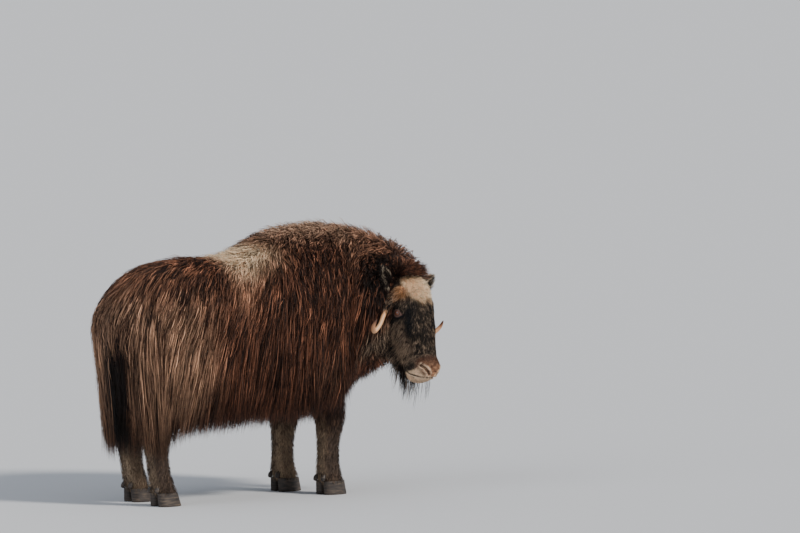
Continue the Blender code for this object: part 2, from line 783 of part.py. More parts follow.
def leg_rings(rows, ahead, right, count=10, sides=10):
    """Rings down a leg that stands at this place."""
    downward = [(-row.height, *row[1:]) for row in rows]
    top, foot = downward[0][0], downward[-1][0]
    rings = []
    for k in range(count):
        depth_down, shift, half_depth, half_width = smooth_row(downward, top + (foot - top) * k / (count - 1))
        ring = []
        for n in range(sides):
            angle = math.tau * n / sides
            depth = half_depth * power(math.cos(angle), 2 / 2.2)
            width = half_width * power(math.sin(angle), 2 / 2.2)
            ring.append(Vector((-right + width, -(ahead + shift) + depth, -depth_down)))
        rings.append(ring)
    return rings


def make_leg(name, stance, neighbours, parts, cutters):
    rows, ahead, right = STANCE[stance]
    leg = loft(name, leg_rings(rows, ahead, right), "stocking", parts)
    hull = copy_of(leg, cutters)
    for neighbour in neighbours:
        if meets(leg, surface_of([neighbour])):
            cut_clear(leg, neighbour, cutters)
    keep_largest(leg)
    return hull


def hoof_ring(height, length, width, slide):
    ring = []
    for n in range(HOOF_SIDES):
        angle = math.tau * n / HOOF_SIDES
        toe = math.cos(angle)
        depth = length / 2 * power(toe, 2 / (2.1 if toe > 0 else 2.8))
        ring.append(Vector((width / 2 * power(math.sin(angle), 2 / 2.5), -(depth + slide), height)))
    return ring


def make_hoof(name, stance, parts, cutters):
    """Two toes joined behind by the heel, flat underneath."""
    rows, ahead, right = STANCE[stance]
    foot = rows[-1]
    top_length, top_width = foot.half_depth * 2 - HOOF_RIM, foot.half_width * 2 - HOOF_RIM
    sizes = (
        (0.000, HOOF_LENGTH - 0.006, HOOF_WIDTH - 0.006, HOOF_LEAN),
        (0.010, HOOF_LENGTH, HOOF_WIDTH, HOOF_LEAN),
        (0.035, (HOOF_LENGTH + top_length) / 2, (HOOF_WIDTH + top_width) / 2, HOOF_LEAN * 0.6),
        (HOOF_HEIGHT, top_length, top_width, foot.ahead),
    )
    hoof = loft(name, [hoof_ring(*size) for size in sizes], "hoof", parts)
    slot = ((-0.5, 0.2), (0.5, 0.2), (0.18, -0.030), (-0.18, -0.030))
    rings = []
    for height, wide in ((-0.01, 1.3), (HOOF_HEIGHT - 0.012, 0.8)):
        rings.append([Vector((x * CLEFT_WIDTH * wide, -y, height)) for x, y in slot])
    boolean(hoof, "DIFFERENCE", loft("cleft", rings, "hoof", cutters))
    hoof.data.transform(Matrix.Translation((-right, -ahead, 0)))
    return hoof


def make_tail(rump, parts, cutters):
    points = [Vector((0, -row[0], row[1])) for row in smooth_path(TAIL, 9)]
    radii = [row[2] for row in smooth_path(TAIL, 9)]
    tail = loft("tail", path_rings(points, radii, radii, 10, Vector((1, 0, 0))), "coat", parts)
    hull = copy_of(tail, cutters)
    cut_clear(tail, rump, cutters, solver="MANIFOLD")
    keep_largest(tail)
    return hull


def stand_on_origin(parts):
    """Moves every piece so that the middle of the bounding box stands over the origin."""
    corners = [vert.co for obj in parts.objects for vert in obj.data.vertices]
    middle = [(min(c[k] for c in corners) + max(c[k] for c in corners)) / 2 for k in (0, 1)]
    lowest = min(c[2] for c in corners)
    for obj in parts.objects:
        obj.data.transform(Matrix.Translation((-middle[0], -middle[1], -lowest)))


def main():
    clear_scene()
    parts = new_collection("muskox")
    cutters = new_collection("cutters")
    head = make_head(parts, cutters)
    hulls = [head]
    for name, side in (("right", 1), ("left", -1)):
        horn = make_horn("horn_" + name, side, head, parts, cutters)
        ear = make_ear("ear_" + name, side, (head, horn), parts, cutters)
        hulls += [horn, ear]
        make_eye("eye_" + name, side, parts)
    starts = {"rump": RUMP_END, "barrel": LOIN_CUT, "shoulders": RIB_CUT, "neck": NECK_CUT}
    lengths = list(zip(starts, starts.values(), (LOIN_CUT, RIB_CUT, NECK_CUT, CROWN_END)))
    cores = [trunk_form(name, start, end, parts) for name, start, end in lengths]
    trunk = surface_of([trunk_form("trunk", RUMP_END, CROWN_END, cutters)])
    for hull in hulls:
        cut_clear(cores[-1], hull, cutters, solver="MANIFOLD")
    keep_largest(cores[-1])
    hulls.append(make_tail(cores[0], parts, cutters))
    for stance in STANCE:
        hulls.append(make_leg("leg_" + stance, stance, cores, parts, cutters))
        make_hoof("hoof_" + stance, stance, parts, cutters)
    draw = random.Random(SEED)
    for core, (name, start, end) in zip(cores, lengths):
        grow_coat(core, start, end, trunk, hulls, cutters, draw)
    for helper in list(cutters.objects):
        bpy.data.objects.remove(helper)
    stand_on_origin(parts)


main()
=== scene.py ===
# %% [markdown]
# # A life-size muskox cow
#
# The model stands as in a museum, the head turned to her right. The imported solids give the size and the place
# of everything. This lesson dresses them: one skin, a long coat of solid tufts, horns, hooves and wet eyes.

# %% The frame
import math
from functools import partial
from types import SimpleNamespace

import bmesh
import bpy
import numpy as np
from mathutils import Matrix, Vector
from mathutils.bvhtree import BVHTree
from mathutils.kdtree import KDTree


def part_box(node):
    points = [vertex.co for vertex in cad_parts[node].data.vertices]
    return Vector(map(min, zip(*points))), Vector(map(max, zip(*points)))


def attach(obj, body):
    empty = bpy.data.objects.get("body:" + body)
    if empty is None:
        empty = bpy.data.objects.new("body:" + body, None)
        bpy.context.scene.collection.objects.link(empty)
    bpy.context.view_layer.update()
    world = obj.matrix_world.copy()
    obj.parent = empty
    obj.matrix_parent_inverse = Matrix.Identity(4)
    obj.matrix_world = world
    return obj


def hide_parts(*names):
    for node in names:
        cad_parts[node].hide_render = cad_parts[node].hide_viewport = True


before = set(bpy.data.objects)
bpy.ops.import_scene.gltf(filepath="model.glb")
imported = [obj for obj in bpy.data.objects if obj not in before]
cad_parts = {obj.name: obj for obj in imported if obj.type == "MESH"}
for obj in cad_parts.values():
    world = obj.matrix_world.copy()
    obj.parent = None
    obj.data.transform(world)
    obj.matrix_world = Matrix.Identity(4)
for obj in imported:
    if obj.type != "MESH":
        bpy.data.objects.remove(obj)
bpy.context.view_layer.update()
print("the frame has", len(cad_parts), "packed nodes")

# %% [markdown]
# ## Sizes
#
# The animal is measured along a spine that runs straight from the tail to the withers and then bends to
# her right. Sizes at a few places along it are read as one smooth curve. The head has a frame of its own:
# side is to her right, front is towards the bridge of the nose, and along runs down the face from between
# the eyes.

# %% Sizes of the trunk
NECK_START = 0.34
NECK_RADIUS = 0.34
NECK_TURN = math.radians(76)
NECK_END = NECK_START + NECK_RADIUS * NECK_TURN
TRUNK = (  # along, top of the coat, underside, half width, depth of the coat
    (-0.690, 0.850, 0.660, 0.100, 0.040),
    (-0.668, 0.905, 0.620, 0.180, 0.050),
    (-0.615, 0.965, 0.580, 0.245, 0.060),
    (-0.530, 1.035, 0.540, 0.290, 0.060),
    (-0.350, 1.075, 0.500, 0.315, 0.055),
    (-0.100, 1.077, 0.470, 0.330, 0.050),
    (0.040, 1.118, 0.460, 0.335, 0.060),
    (0.180, 1.180, 0.455, 0.335, 0.070),
    (0.335, 1.205, 0.460, 0.325, 0.075),
    (0.500, 1.202, 0.510, 0.290, 0.075),
    (0.640, 1.172, 0.570, 0.265, 0.075),
    (NECK_END, 1.096, 0.640, 0.225, 0.070),
    (NECK_END + 0.030, 1.050, 0.690, 0.178, 0.070),
    (NECK_END + 0.050, 0.990, 0.740, 0.120, 0.050),
)
HEMS = (  # along, height of the coat's lowest tips
    (-0.712, 0.310),
    (-0.685, 0.240),
    (-0.640, 0.180),
    (-0.540, 0.200),
    (-0.380, 0.285),
    (0.100, 0.330),
    (0.420, 0.360),
    (0.640, 0.500),
    (NECK_END + 0.050, 0.690),
)
RUMP_END = TRUNK[0][0]
CROWN_END = TRUNK[-1][0]
SKIN_INSET = 0.62  # share of the coat's depth between its tips and the skin
print("the spine runs", round(CROWN_END - RUMP_END, 3), "m from the rump to the crown")

# %% Sizes of the head
HEAD = (  # along, front, back, half width, each out to the tips of the short hair
    (-0.182, 0.012, 0.030, 0.035),
    (-0.168, 0.045, 0.070, 0.072),
    (-0.135, 0.072, 0.105, 0.100),
    (-0.090, 0.088, 0.128, 0.112),
    (-0.040, 0.095, 0.142, 0.112),
    (0.020, 0.098, 0.150, 0.103),
    (0.080, 0.095, 0.146, 0.090),
    (0.140, 0.088, 0.125, 0.075),
    (0.193, 0.083, 0.098, 0.067),
    (0.240, 0.086, 0.078, 0.068),
    (0.270, 0.081, 0.068, 0.064),
    (0.293, 0.058, 0.052, 0.050),
    (0.307, 0.020, 0.028, 0.023),
)
EYE_AHEAD = 0.079
EYE_HEIGHT = 0.797
EYE_SIDE = 0.096
EYE_FRONT = 0.010
EYE_RADIUS = 0.0185
FACE_LEAN = math.radians(17)
HEAD_ROLL = math.radians(4)
print("the head is", round(HEAD[-1][0] - HEAD[0][0], 3), "m long")


# %% Curves and fades
def smooth_rows(rows, places):
    """A smooth curve through the rows of a table, read at many places. Column 0 is the place."""
    rows = np.asarray(rows, float)
    places = np.asarray(places, float)
    last = len(rows) - 1
    step = np.clip(np.searchsorted(rows[:, 0], places, side="right") - 1, 0, last - 1)
    near, far = rows[step], rows[step + 1]
    before, after = rows[np.maximum(step - 1, 0)], rows[np.minimum(step + 2, last)]
    span = (far - near)[:, :1]
    share = (places[:, None] - near[:, :1]) / span
    slope_in = (far - before) / (far - before)[:, :1] * span
    slope_out = (after - near) / (after - near)[:, :1] * span
    bend = slope_in * (share - 2 * share**2 + share**3) + slope_out * (share**3 - share**2)
    return near + (far - near) * (3 * share**2 - 2 * share**3) + bend


def smooth_path(points, count):
    """A smooth path of this many places through points. A point may carry more, such as a radius."""
    rows = [(k, *point) for k, point in enumerate(points)]
    return smooth_rows(rows, np.linspace(0, len(points) - 1, count))[:, 1:]


def power(value, exponent):
    """A power that keeps the sign, for outlines between an ellipse and a box."""
    return np.sign(value) * np.abs(value) ** exponent


def fade(value, start, end):
    """0 before start, 1 past end, and smooth between them. end may be the smaller one."""
    share = np.clip((np.asarray(value, float) - start) / (end - start), 0, 1)
    return share * share * (3 - 2 * share)


def bell(value, centre, width):
    """1 at the centre, and falling smoothly to 0 past its width."""
    return np.exp(-(((value - centre) / width) ** 2))


def unit(vectors):
    """Vectors made one long."""
    return vectors / np.maximum(np.linalg.norm(vectors, axis=-1, keepdims=True), 1e-9)


print("over the shoulders the coat is", round(float(smooth_rows(TRUNK, [NECK_START])[0, 1]), 3), "m high")

# %% [markdown]
# ## Finding places on the body
#
# The spine gives three numbers for any point: how far along it is, how far to her right, and how high. A
# level built on them is 1 on the coat's surface and less inside, so thousands of hairs can be pushed out
# of the body at once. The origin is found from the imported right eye.

# %% The spine, and the way back to it
def spine(along, shift):
    """(point on the floor, heading, her right) at places along the spine."""
    along = np.asarray(along, float)
    turn = np.clip((along - NECK_START) / NECK_RADIUS, 0, NECK_TURN)
    ahead = np.minimum(along, NECK_START) + NECK_RADIUS * np.sin(turn)
    right = NECK_RADIUS * (1 - np.cos(turn))
    heading = np.stack([-np.sin(turn), -np.cos(turn), 0 * turn], -1)
    floor = np.stack([-right, -ahead, 0 * turn], -1) + heading * np.maximum(along - NECK_END, 0)[..., None]
    beside = np.stack([-np.cos(turn), np.sin(turn), 0 * turn], -1)
    return floor + shift, heading, beside


class HeadFrame:
    """Her head's own directions, and the way from them to the scene's and back."""

    def __init__(self, shift):
        floor, heading, right = (row[0] for row in spine([NECK_END], shift))
        up = np.array([0.0, 0.0, 1.0])
        crown = up * math.cos(HEAD_ROLL) - right * math.sin(HEAD_ROLL)
        self.right = right * math.cos(HEAD_ROLL) + up * math.sin(HEAD_ROLL)
        self.down_face = heading * math.sin(FACE_LEAN) - crown * math.cos(FACE_LEAN)
        self.front = heading * math.cos(FACE_LEAN) + crown * math.sin(FACE_LEAN)
        self.centre = floor + heading * EYE_AHEAD + up * EYE_HEIGHT
        self.axes = np.stack([self.right, self.front, self.down_face])

    def out(self, places):
        """Scene points from (side, front, along)."""
        return self.centre + np.asarray(places, float) @ self.axes

    def turn(self, directions):
        return np.asarray(directions, float) @ self.axes

    def back(self, points):
        """(side, front, along) from scene points."""
        return (np.asarray(points) - self.centre) @ self.axes.T


packed_eye = sum((np.array(corner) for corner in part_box("eye_right")), np.zeros(3)) / 2
SHIFT = packed_eye - HeadFrame(np.zeros(3)).out([EYE_SIDE, EYE_FRONT, 0])
SHIFT[2] = 0
HEAD_FRAME = HeadFrame(SHIFT)
print("the spine's origin lies at", SHIFT.round(4))

# %% The coat's level
TABLE_PLACES = np.linspace(RUMP_END, CROWN_END, 400)
TABLE = smooth_rows(TRUNK, TABLE_PLACES)
SQUARE_ACROSS = 2.2  # exponent of the trunk's outline: 2 is an ellipse, and more is squarer
SQUARE_UP = 2.1
END_SOFTNESS = (0.018, 0.045)  # how far the surface bulges past the rump's end and the crown's
PUSH_ROUNDS = 2


def trunk_sizes(along):
    """(top, underside, half width, coat) at places along the spine."""
    return [np.interp(along, TABLE_PLACES, TABLE[:, column]) for column in range(1, 5)]


def trunk_point(along, angle, inset):
    """Points of the trunk's surface. Angle 0 is over the back."""
    top, belly, wide, coat = trunk_sizes(along)
    floor, _, beside = spine(along, SHIFT)
    middle = (top + belly) / 2
    side = (wide - inset * coat) * power(np.sin(angle), 2 / SQUARE_ACROSS)
    rise = np.cos(angle)
    reach = np.where(rise > 0, top - inset * coat - middle, middle - belly)
    height = middle + reach * power(rise, 2 / SQUARE_UP)
    return floor + beside * side[..., None] + np.array([0, 0, 1.0]) * height[..., None]


def trunk_coordinates(points):
    """(along, side, height) of scene points."""
    ahead = -(points[:, 1] - SHIFT[1])
    right = -(points[:, 0] - SHIFT[0])
    bend = np.arctan2(ahead - NECK_START, NECK_RADIUS - right)
    on_bend = ahead >= NECK_START
    along = np.where(on_bend, NECK_START + NECK_RADIUS * np.clip(bend, 0, NECK_TURN), ahead)
    side = np.where(on_bend, NECK_RADIUS - np.hypot(ahead - NECK_START, NECK_RADIUS - right), right)
    past_bend = on_bend & (bend > NECK_TURN)
    over = ahead - NECK_START - NECK_RADIUS * math.sin(NECK_TURN)
    out = right - NECK_RADIUS * (1 - math.cos(NECK_TURN))
    along = np.where(past_bend, NECK_END + over * math.cos(NECK_TURN) + out * math.sin(NECK_TURN), along)
    side = np.where(past_bend, out * math.cos(NECK_TURN) - over * math.sin(NECK_TURN), side)
    return along, side, points[:, 2]


def coat_level(points, inset):
    """1 on the coat's surface, inset by a share of its depth, and less than 1 inside."""
    along, side, height = trunk_coordinates(points)
    top, belly, wide, coat = trunk_sizes(along)
    middle = (top + belly) / 2
    rise = height - middle
    reach = np.where(rise > 0, top - inset * coat - middle, middle - belly)
    past = np.maximum(RUMP_END - along, 0) / END_SOFTNESS[0]
    past = past + np.maximum(along - CROWN_END, 0) / END_SOFTNESS[1]
    across = (np.abs(side) / (wide - inset * coat)) ** SQUARE_ACROSS
    return across + (np.abs(rise) / reach) ** SQUARE_UP + past**2


def coat_slope(points, inset):
    level = coat_level(points, inset)
    nudge = 0.002
    slope = np.stack([(coat_level(points + nudge * axis, inset) - level) / nudge for axis in np.eye(3)], -1)
    return level, slope


def pushed_out(points, inset, most=0.02):
    """Points inside the surface moved out to it."""
    for _ in range(PUSH_ROUNDS):
        level, slope = coat_slope(points, inset)
        steep = np.maximum(np.linalg.norm(slope, axis=-1), 1e-6)
        short = np.clip((1 - level) / steep, 0, most)
        points = points + slope / steep[:, None] * short[:, None]
    return points


withers = trunk_point(np.array([0.0]), np.array([0.0]), 0)
print("the level over the withers is", round(float(coat_level(withers, 0)[0]), 3))

# %% [markdown]
# ## Camera, floor and light
#
# The view is from behind her right shoulder: the camera stands 38 degrees from square to her right side,
# towards her tail, and 4 degrees up. A far camera with a long lens keeps the proportions. The floor is one
# pale sheet, lit by a pale sky and a soft low sun, as open shade in winter.

# %% The view
AZIMUTH = 232  # degrees round from her front, with her right side at 270
ELEVATION = 4
AIM = np.array([-0.433, -0.555, 1.019]) + SHIFT
SEEN_WIDTH = 3.52  # metres across the picture at the animal
LENS = 400
SENSOR = 36
SIGHT_END = 500


def towards(azimuth, elevation):
    """Direction from the animal to a place seen at these angles, in degrees."""
    turn, rise = math.radians(azimuth), math.radians(elevation)
    return Vector((math.sin(turn) * math.cos(rise), -math.cos(turn) * math.cos(rise), math.sin(rise)))


def link(obj):
    bpy.context.scene.collection.objects.link(obj)
    return obj


def add_camera():
    data = bpy.data.cameras.new("camera")
    data.lens = LENS
    data.sensor_width = SENSOR
    data.clip_end = SIGHT_END
    away = towards(AZIMUTH, ELEVATION)
    camera = link(bpy.data.objects.new("camera", data))
    camera.location = Vector(AIM) + away * (SEEN_WIDTH * LENS / SENSOR)
    camera.rotation_euler = away.to_track_quat("Z", "Y").to_euler()
    bpy.context.scene.camera = camera


add_camera()
print("the camera is", round(SEEN_WIDTH * LENS / SENSOR, 1), "m away")

# %% Light and floor
SKY_BLUE = (0.80, 0.86, 0.95, 1)
SKY_STRENGTH = 0.55
FLOOR_GREY = (0.62, 0.63, 0.65, 1)
FLOOR_RADIUS = 120


def add_sun(name, azimuth, elevation, strength, blur, colour):
    """A sun at these angles. blur is its width in the sky, in degrees."""
    data = bpy.data.lights.new(name, "SUN")
    data.energy = strength
    data.angle = math.radians(blur)
    data.color = colour
    sun = link(bpy.data.objects.new(name, data))
    sun.rotation_euler = towards(azimuth, elevation).to_track_quat("Z", "Y").to_euler()


def add_sky():
    world = bpy.data.worlds.new("sky")
    world.use_nodes = True
    sky = world.node_tree.nodes["Background"]
    sky.inputs["Color"].default_value = SKY_BLUE
    sky.inputs["Strength"].default_value = SKY_STRENGTH
    bpy.context.scene.world = world


def principled(name, roughness, specular, **constants):
    made = bpy.data.materials.new(name)
    made.use_nodes = True
    shader = made.node_tree.nodes["Principled BSDF"]
    shader.inputs["Roughness"].default_value = roughness
    shader.inputs["Specular IOR Level"].default_value = specular
    for socket, value in constants.items():
        shader.inputs[socket.replace("_", " ")].default_value = value
    return made, shader


def add_floor():
    bpy.ops.mesh.primitive_circle_add(vertices=64, radius=FLOOR_RADIUS, fill_type="NGON", location=(0, 0, 0))
    floor = bpy.context.active_object
    floor.name = "floor"
    pale, _ = principled("floor_pale", roughness=0.9, specular=0.1, Base_Color=FLOOR_GREY)
    floor.data.materials.append(pale)


add_sky()
add_sun("key", azimuth=292, elevation=36, strength=3.6, blur=10, colour=(1.0, 0.95, 0.88))
add_sun("fill", azimuth=190, elevation=30, strength=0.8, blur=40, colour=(0.90, 0.94, 1.0))
add_floor()
print("the stage has", len(bpy.data.lights), "suns, a sky and a floor")

# %% [markdown]
# ## The skin
#
# Skin, muscle and bone under a muskox's coat form one smooth body. It could be sculpted whole, but lofts
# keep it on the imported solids: the trunk, legs, tail and ears are lofts, the head is a finer loft with
# swellings and grooves, and one Boolean union welds them. It lies deep enough to leave the coat room.

# %% Mesh helpers
def mesh_from(name, points, faces):
    mesh = bpy.data.meshes.new(name)
    mesh.from_pydata(np.asarray(points).tolist(), [], faces)
    return mesh


def grid_faces(rows, columns):
    """Faces of rows of points that close round, with the two open ends capped."""
    faces = []
    for row in range(rows - 1):
        first = row * columns
        for column in range(columns):
            beside = (column + 1) % columns
            faces.append((first + column, first + beside, first + columns + beside, first + columns + column))
    faces.append(tuple(range(columns)))
    faces.append(tuple((rows - 1) * columns + column for column in range(columns)))
    return faces


def loft(name, rings):
    rings = np.asarray(rings)
    rows, columns = rings.shape[:2]
    mesh = mesh_from(name, rings.reshape(-1, 3), grid_faces(rows, columns))
    shape = bmesh.new()
    shape.from_mesh(mesh)
    bmesh.ops.recalc_face_normals(shape, faces=shape.faces)
    shape.to_mesh(mesh)
    shape.free()
    mesh.shade_smooth()
    return bpy.data.objects.new(name, mesh)


def evaluated_mesh(obj):
    graph = bpy.context.evaluated_depsgraph_get()
    return bpy.data.meshes.new_from_object(obj.evaluated_get(graph))


def vertex_array(mesh, what="co"):
    values = np.empty(len(mesh.vertices) * 3, np.float32)
    mesh.vertices.foreach_get(what, values)
    return values.reshape(-1, 3).astype(float)


def spread(low, high, density):
    """Places from low to high, closer together where the density is high."""
    fine = np.linspace(low, high, 3000)
    crowd = density(fine)
    total = np.concatenate([[0], np.cumsum((crowd[1:] + crowd[:-1]) / 2 * np.diff(fine))])
    return np.interp(np.linspace(0, total[-1], int(total[-1])), total, fine)


def tube_rings(path, radii, sides, face_up):
    path = np.asarray(path, float)
    ahead = unit(np.gradient(path, axis=0))
    beside = unit(np.cross(ahead, face_up))
    over = np.cross(beside, ahead)
    angles = np.linspace(0, math.tau, sides, endpoint=False)
    round_part = np.cos(angles)[None, :, None] * beside[:, None]
    round_part = round_part + np.sin(angles)[None, :, None] * over[:, None]
    return path[:, None] + round_part * np.asarray(radii)[:, None, None]


print("rings of 4 points in 3 rows make", len(grid_faces(3, 4)), "faces")

# %% Sizes of the legs and tail
TRUNK_COLUMNS = 150
TRUNK_STEP = 0.015
LEG_STEP = 0.010
LEG_COLUMNS = 36
LEG_SQUARE = 2.2
LEG_FUR = 0.006
LEG_SUNK = 0.004  # of the leg's skin into the hoof
HOOF_HEIGHT = 0.060
TENDON_DEPTH = 0.004
TENDON_ANGLE = math.radians(48)  # round the leg from its front to the hollow beside the tendon
FORE_LEG = (  # height, ahead of the hoof, half depth, half width
    (0.620, -0.020, 0.085, 0.060),
    (0.460, -0.020, 0.080, 0.062),
    (0.340, 0.000, 0.064, 0.054),
    (0.240, -0.008, 0.054, 0.047),
    (0.150, -0.010, 0.053, 0.047),
    (0.100, -0.006, 0.057, 0.052),
    (HOOF_HEIGHT, 0.004, 0.056, 0.052),
)
HIND_LEG = (
    (0.680, 0.020, 0.110, 0.065),
    (0.500, -0.030, 0.088, 0.062),
    (0.390, -0.052, 0.066, 0.052),
    (0.270, -0.044, 0.056, 0.047),
    (0.160, -0.030, 0.053, 0.046),
    (0.100, -0.014, 0.055, 0.050),
    (HOOF_HEIGHT, 0.000, 0.053, 0.049),
)
STANCE = {  # the leg's sizes, and where its hoof stands, ahead of the saddle and to her right
    "fore_right": (FORE_LEG, 0.400, 0.125),
    "fore_left": (FORE_LEG, 0.334, -0.120),
    "hind_right": (HIND_LEG, -0.510, 0.125),
    "hind_left": (HIND_LEG, -0.470, -0.125),
}
TAIL = (  # behind the origin as a negative number, height, radius
    (-0.620, 0.870, 0.015),
    (-0.664, 0.846, 0.015),
    (-0.690, 0.810, 0.013),
    (-0.696, 0.760, 0.006),
)
TAIL_RINGS = 24
TAIL_SIDES = 16
TAIL_INSET = 0.8  # share of the tail's radius that is skin
print("her feet stand", round(STANCE["fore_right"][1] - STANCE["hind_right"][1], 2), "m apart along the body")


# %% Lofts of the trunk, legs and tail
def leg_axis(stance, heights):
    """(middle points, half depths, half widths) of a leg at these heights."""
    rows, ahead, right = STANCE[stance]
    downward = np.array([(-row[0], *row[1:]) for row in rows])
    sizes = smooth_rows(downward, -np.asarray(heights))
    middle = np.stack([-right + 0 * sizes[:, 0], -(ahead + sizes[:, 1]), -sizes[:, 0]], -1) + SHIFT
    return middle, sizes[:, 2], sizes[:, 3]


def leg_loft(stance):
    top = STANCE[stance][0][0][0]
    heights = np.linspace(top, HOOF_HEIGHT - LEG_SUNK, round(top / LEG_STEP))
    middle, depth, width = leg_axis(stance, np.maximum(heights, HOOF_HEIGHT))
    middle[:, 2] = heights
    angles = np.linspace(0, math.tau, LEG_COLUMNS, endpoint=False)
    tendon = TENDON_DEPTH * fade(heights, 0.30, 0.20) * fade(heights, 0.09, 0.13)
    hollow = tendon[:, None] * bell(angles, TENDON_ANGLE, 0.3)[None]
    across, forth = (power(way(angles), 2 / LEG_SQUARE)[None] for way in (np.sin, np.cos))
    x = (width - LEG_FUR)[:, None] * across - hollow * np.sign(np.sin(angles))
    y = (depth - LEG_FUR)[:, None] * forth
    return loft("leg_skin", middle[:, None] + np.stack([x, y, 0 * x], -1))


def trunk_loft():
    alongs = np.linspace(RUMP_END, CROWN_END, round((CROWN_END - RUMP_END) / TRUNK_STEP))
    angles = np.linspace(0, math.tau, TRUNK_COLUMNS, endpoint=False)
    grid_along, grid_angle = np.meshgrid(alongs, angles, indexing="ij")
    rings = trunk_point(grid_along.ravel(), grid_angle.ravel(), SKIN_INSET)
    return loft("trunk_skin", rings.reshape(len(alongs), len(angles), 3))


def tail_loft():
    ahead, height, radius = smooth_path(TAIL, TAIL_RINGS).T
    path = np.stack([0 * ahead, -ahead, height], -1) + SHIFT
    return loft("tail_skin", tube_rings(path, radius * TAIL_INSET, TAIL_SIDES, [1.0, 0, 0]))


lofts = {"trunk": trunk_loft()}
print("the trunk's loft has", len(lofts["trunk"].data.polygons), "faces")

# %% [markdown]
# ## The head
#
# A muskox has a broad, flat-sided head with a blunt haired muzzle, small wide-set eyes and slit nostrils.
# The loft's rows and columns crowd together round the eyes and the muzzle. Each feature is a swelling, a
# groove along a short path, or the two curved lids, all added to the same surface.

# %% Sizes of the head's features
FACE_FUR = 0.004
WOOL_FUR = 0.012
HEAD_SQUARE = 2.2  # exponents of the head's outline: across, in front of its middle and behind
FRONT_SQUARE = 2.5
BACK_SQUARE = 1.9
SWELLS = (  # side, front, along, reach, height
    (0.092, 0.040, -0.036, 0.028, 0.006),  # brow
    (0.080, 0.064, 0.034, 0.026, -0.006),  # pit in front of the eye
    (0.100, -0.006, 0.042, 0.024, 0.003),  # cheek bone
    (0.084, -0.066, 0.062, 0.052, 0.004),  # jaw muscle
    (0.066, 0.020, 0.135, 0.040, -0.004),  # hollow of the cheek
    (0.054, 0.064, 0.252, 0.024, 0.005),  # wing of the nostril
    (0.050, -0.004, 0.266, 0.024, 0.003),  # upper lip
    (0.022, -0.046, 0.278, 0.026, 0.003),  # chin
)
MOUTH = (
    (0.054, -0.045, 0.236),
    (0.058, -0.024, 0.260),
    (0.051, 0.004, 0.280),
    (0.033, 0.026, 0.295),
    (0.000, 0.036, 0.300),
)
NOSTRIL = ((0.060, 0.050, 0.248), (0.047, 0.066, 0.268), (0.028, 0.062, 0.290))
PHILTRUM = ((0.0, 0.078, 0.280), (0.0, 0.060, 0.292), (0.0, 0.040, 0.300))
LID_SLIT = math.radians(26)  # of the eye's corners from square to the line of the face
EYE_OPEN_LONG = 0.0180
EYE_OPEN_UP = 0.0122
EYE_OPEN_DOWN = 0.0108
LID_THICK = 0.0030
EYE_TURN = math.radians(84)  # round the head from its front to the eye
print("the face has", len(SWELLS), "swellings on each side, a mouth and two nostrils")


# %% Paths on the face
PATH_REACH = 0.13  # from a path's middle: no place further off is near it
FAR = 1.0


def head_sizes(along):
    """(front, back, half width) out to the tips of the short hair."""
    return smooth_rows(HEAD, np.clip(along, HEAD[0][0], HEAD[-1][0]))[:, 1:].T


def head_fur(along, front):
    wool = fade(along, -0.03, -0.07) * fade(front, -0.02, 0.04)
    return FACE_FUR + (WOOL_FUR - FACE_FUR) * wool - 0.0025 * fade(along, 0.20, 0.26)


def on_head(path):
    """A path moved in or out until it lies on the head."""
    front, back, wide = head_sizes(path[:, 2])
    ahead = path[:, 1] > 0
    fur = head_fur(path[:, 2], path[:, 1])
    scale = np.ones(len(path))
    for _ in range(20):
        across = np.abs(path[:, 0] * scale / (wide - fur)) ** HEAD_SQUARE
        reach = np.where(ahead, front, back) - fur
        forth = np.abs(path[:, 1] * scale / reach) ** np.where(ahead, FRONT_SQUARE, BACK_SQUARE)
        scale = scale * (across + forth) ** -0.4
    return path * np.stack([scale, scale, np.ones(len(path))], -1)


def face_lines():
    """The mouth, a nostril and the upper lip's groove, laid on the head's right half."""
    return [on_head(smooth_path(path, count)) for path, count in ((MOUTH, 40), (NOSTRIL, 24), (PHILTRUM, 12))]


def path_gap(places, path, reach=PATH_REACH):
    """Distance of places from a path's points, far for those out of the path's reach."""
    gaps = np.full(len(places), FAR)
    close = np.nonzero(np.linalg.norm(places - path.mean(0), axis=1) < reach)[0]
    gaps[close] = np.linalg.norm(places[close, None] - path[None], axis=2).min(1)
    return gaps


mouth_width = 2 * float(np.abs(face_lines()[0][:, 0]).max())
print("the mouth is", round(1000 * mouth_width), "mm wide")

# %% Lids
LID_REACH = 0.045  # from the middle of the eye: the skin further off is left alone
LID_BLEND = 0.0022  # softness of the join of lid and face
LID_RIM = 0.0013  # height of the rim along each lid's edge
LID_FOLD = 0.0016  # depth of the fold beyond the rim
BESIDE_EYE = 0.05  # from the head's middle: a place nearer to it isn't beside an eye


def eye_plane(places):
    """(run, rise): places round an eye, run towards its inner corner and rise towards the upper lid."""
    front, along = places[:, 1] - EYE_FRONT, places[:, 2]
    run = front * math.cos(LID_SLIT) + along * math.sin(LID_SLIT)
    rise = front * math.sin(LID_SLIT) - along * math.cos(LID_SLIT)
    return run, rise


def lid_edge(run, rise):
    """Distance outside the opening between the lids, negative inside it."""
    room = np.maximum(1 - (run / EYE_OPEN_LONG) ** 2, 0) ** 0.75
    half = np.where(rise > 0, EYE_OPEN_UP, EYE_OPEN_DOWN) * room
    past = np.maximum(np.abs(run) - EYE_OPEN_LONG, 0)
    return np.where(past > 0, np.hypot(past, rise), np.abs(rise) - half)


def lid_gap(places):
    """Distance of head-frame places outside the nearer eye's opening."""
    return np.where(np.abs(places[:, 0]) > BESIDE_EYE, lid_edge(*eye_plane(places)), FAR)


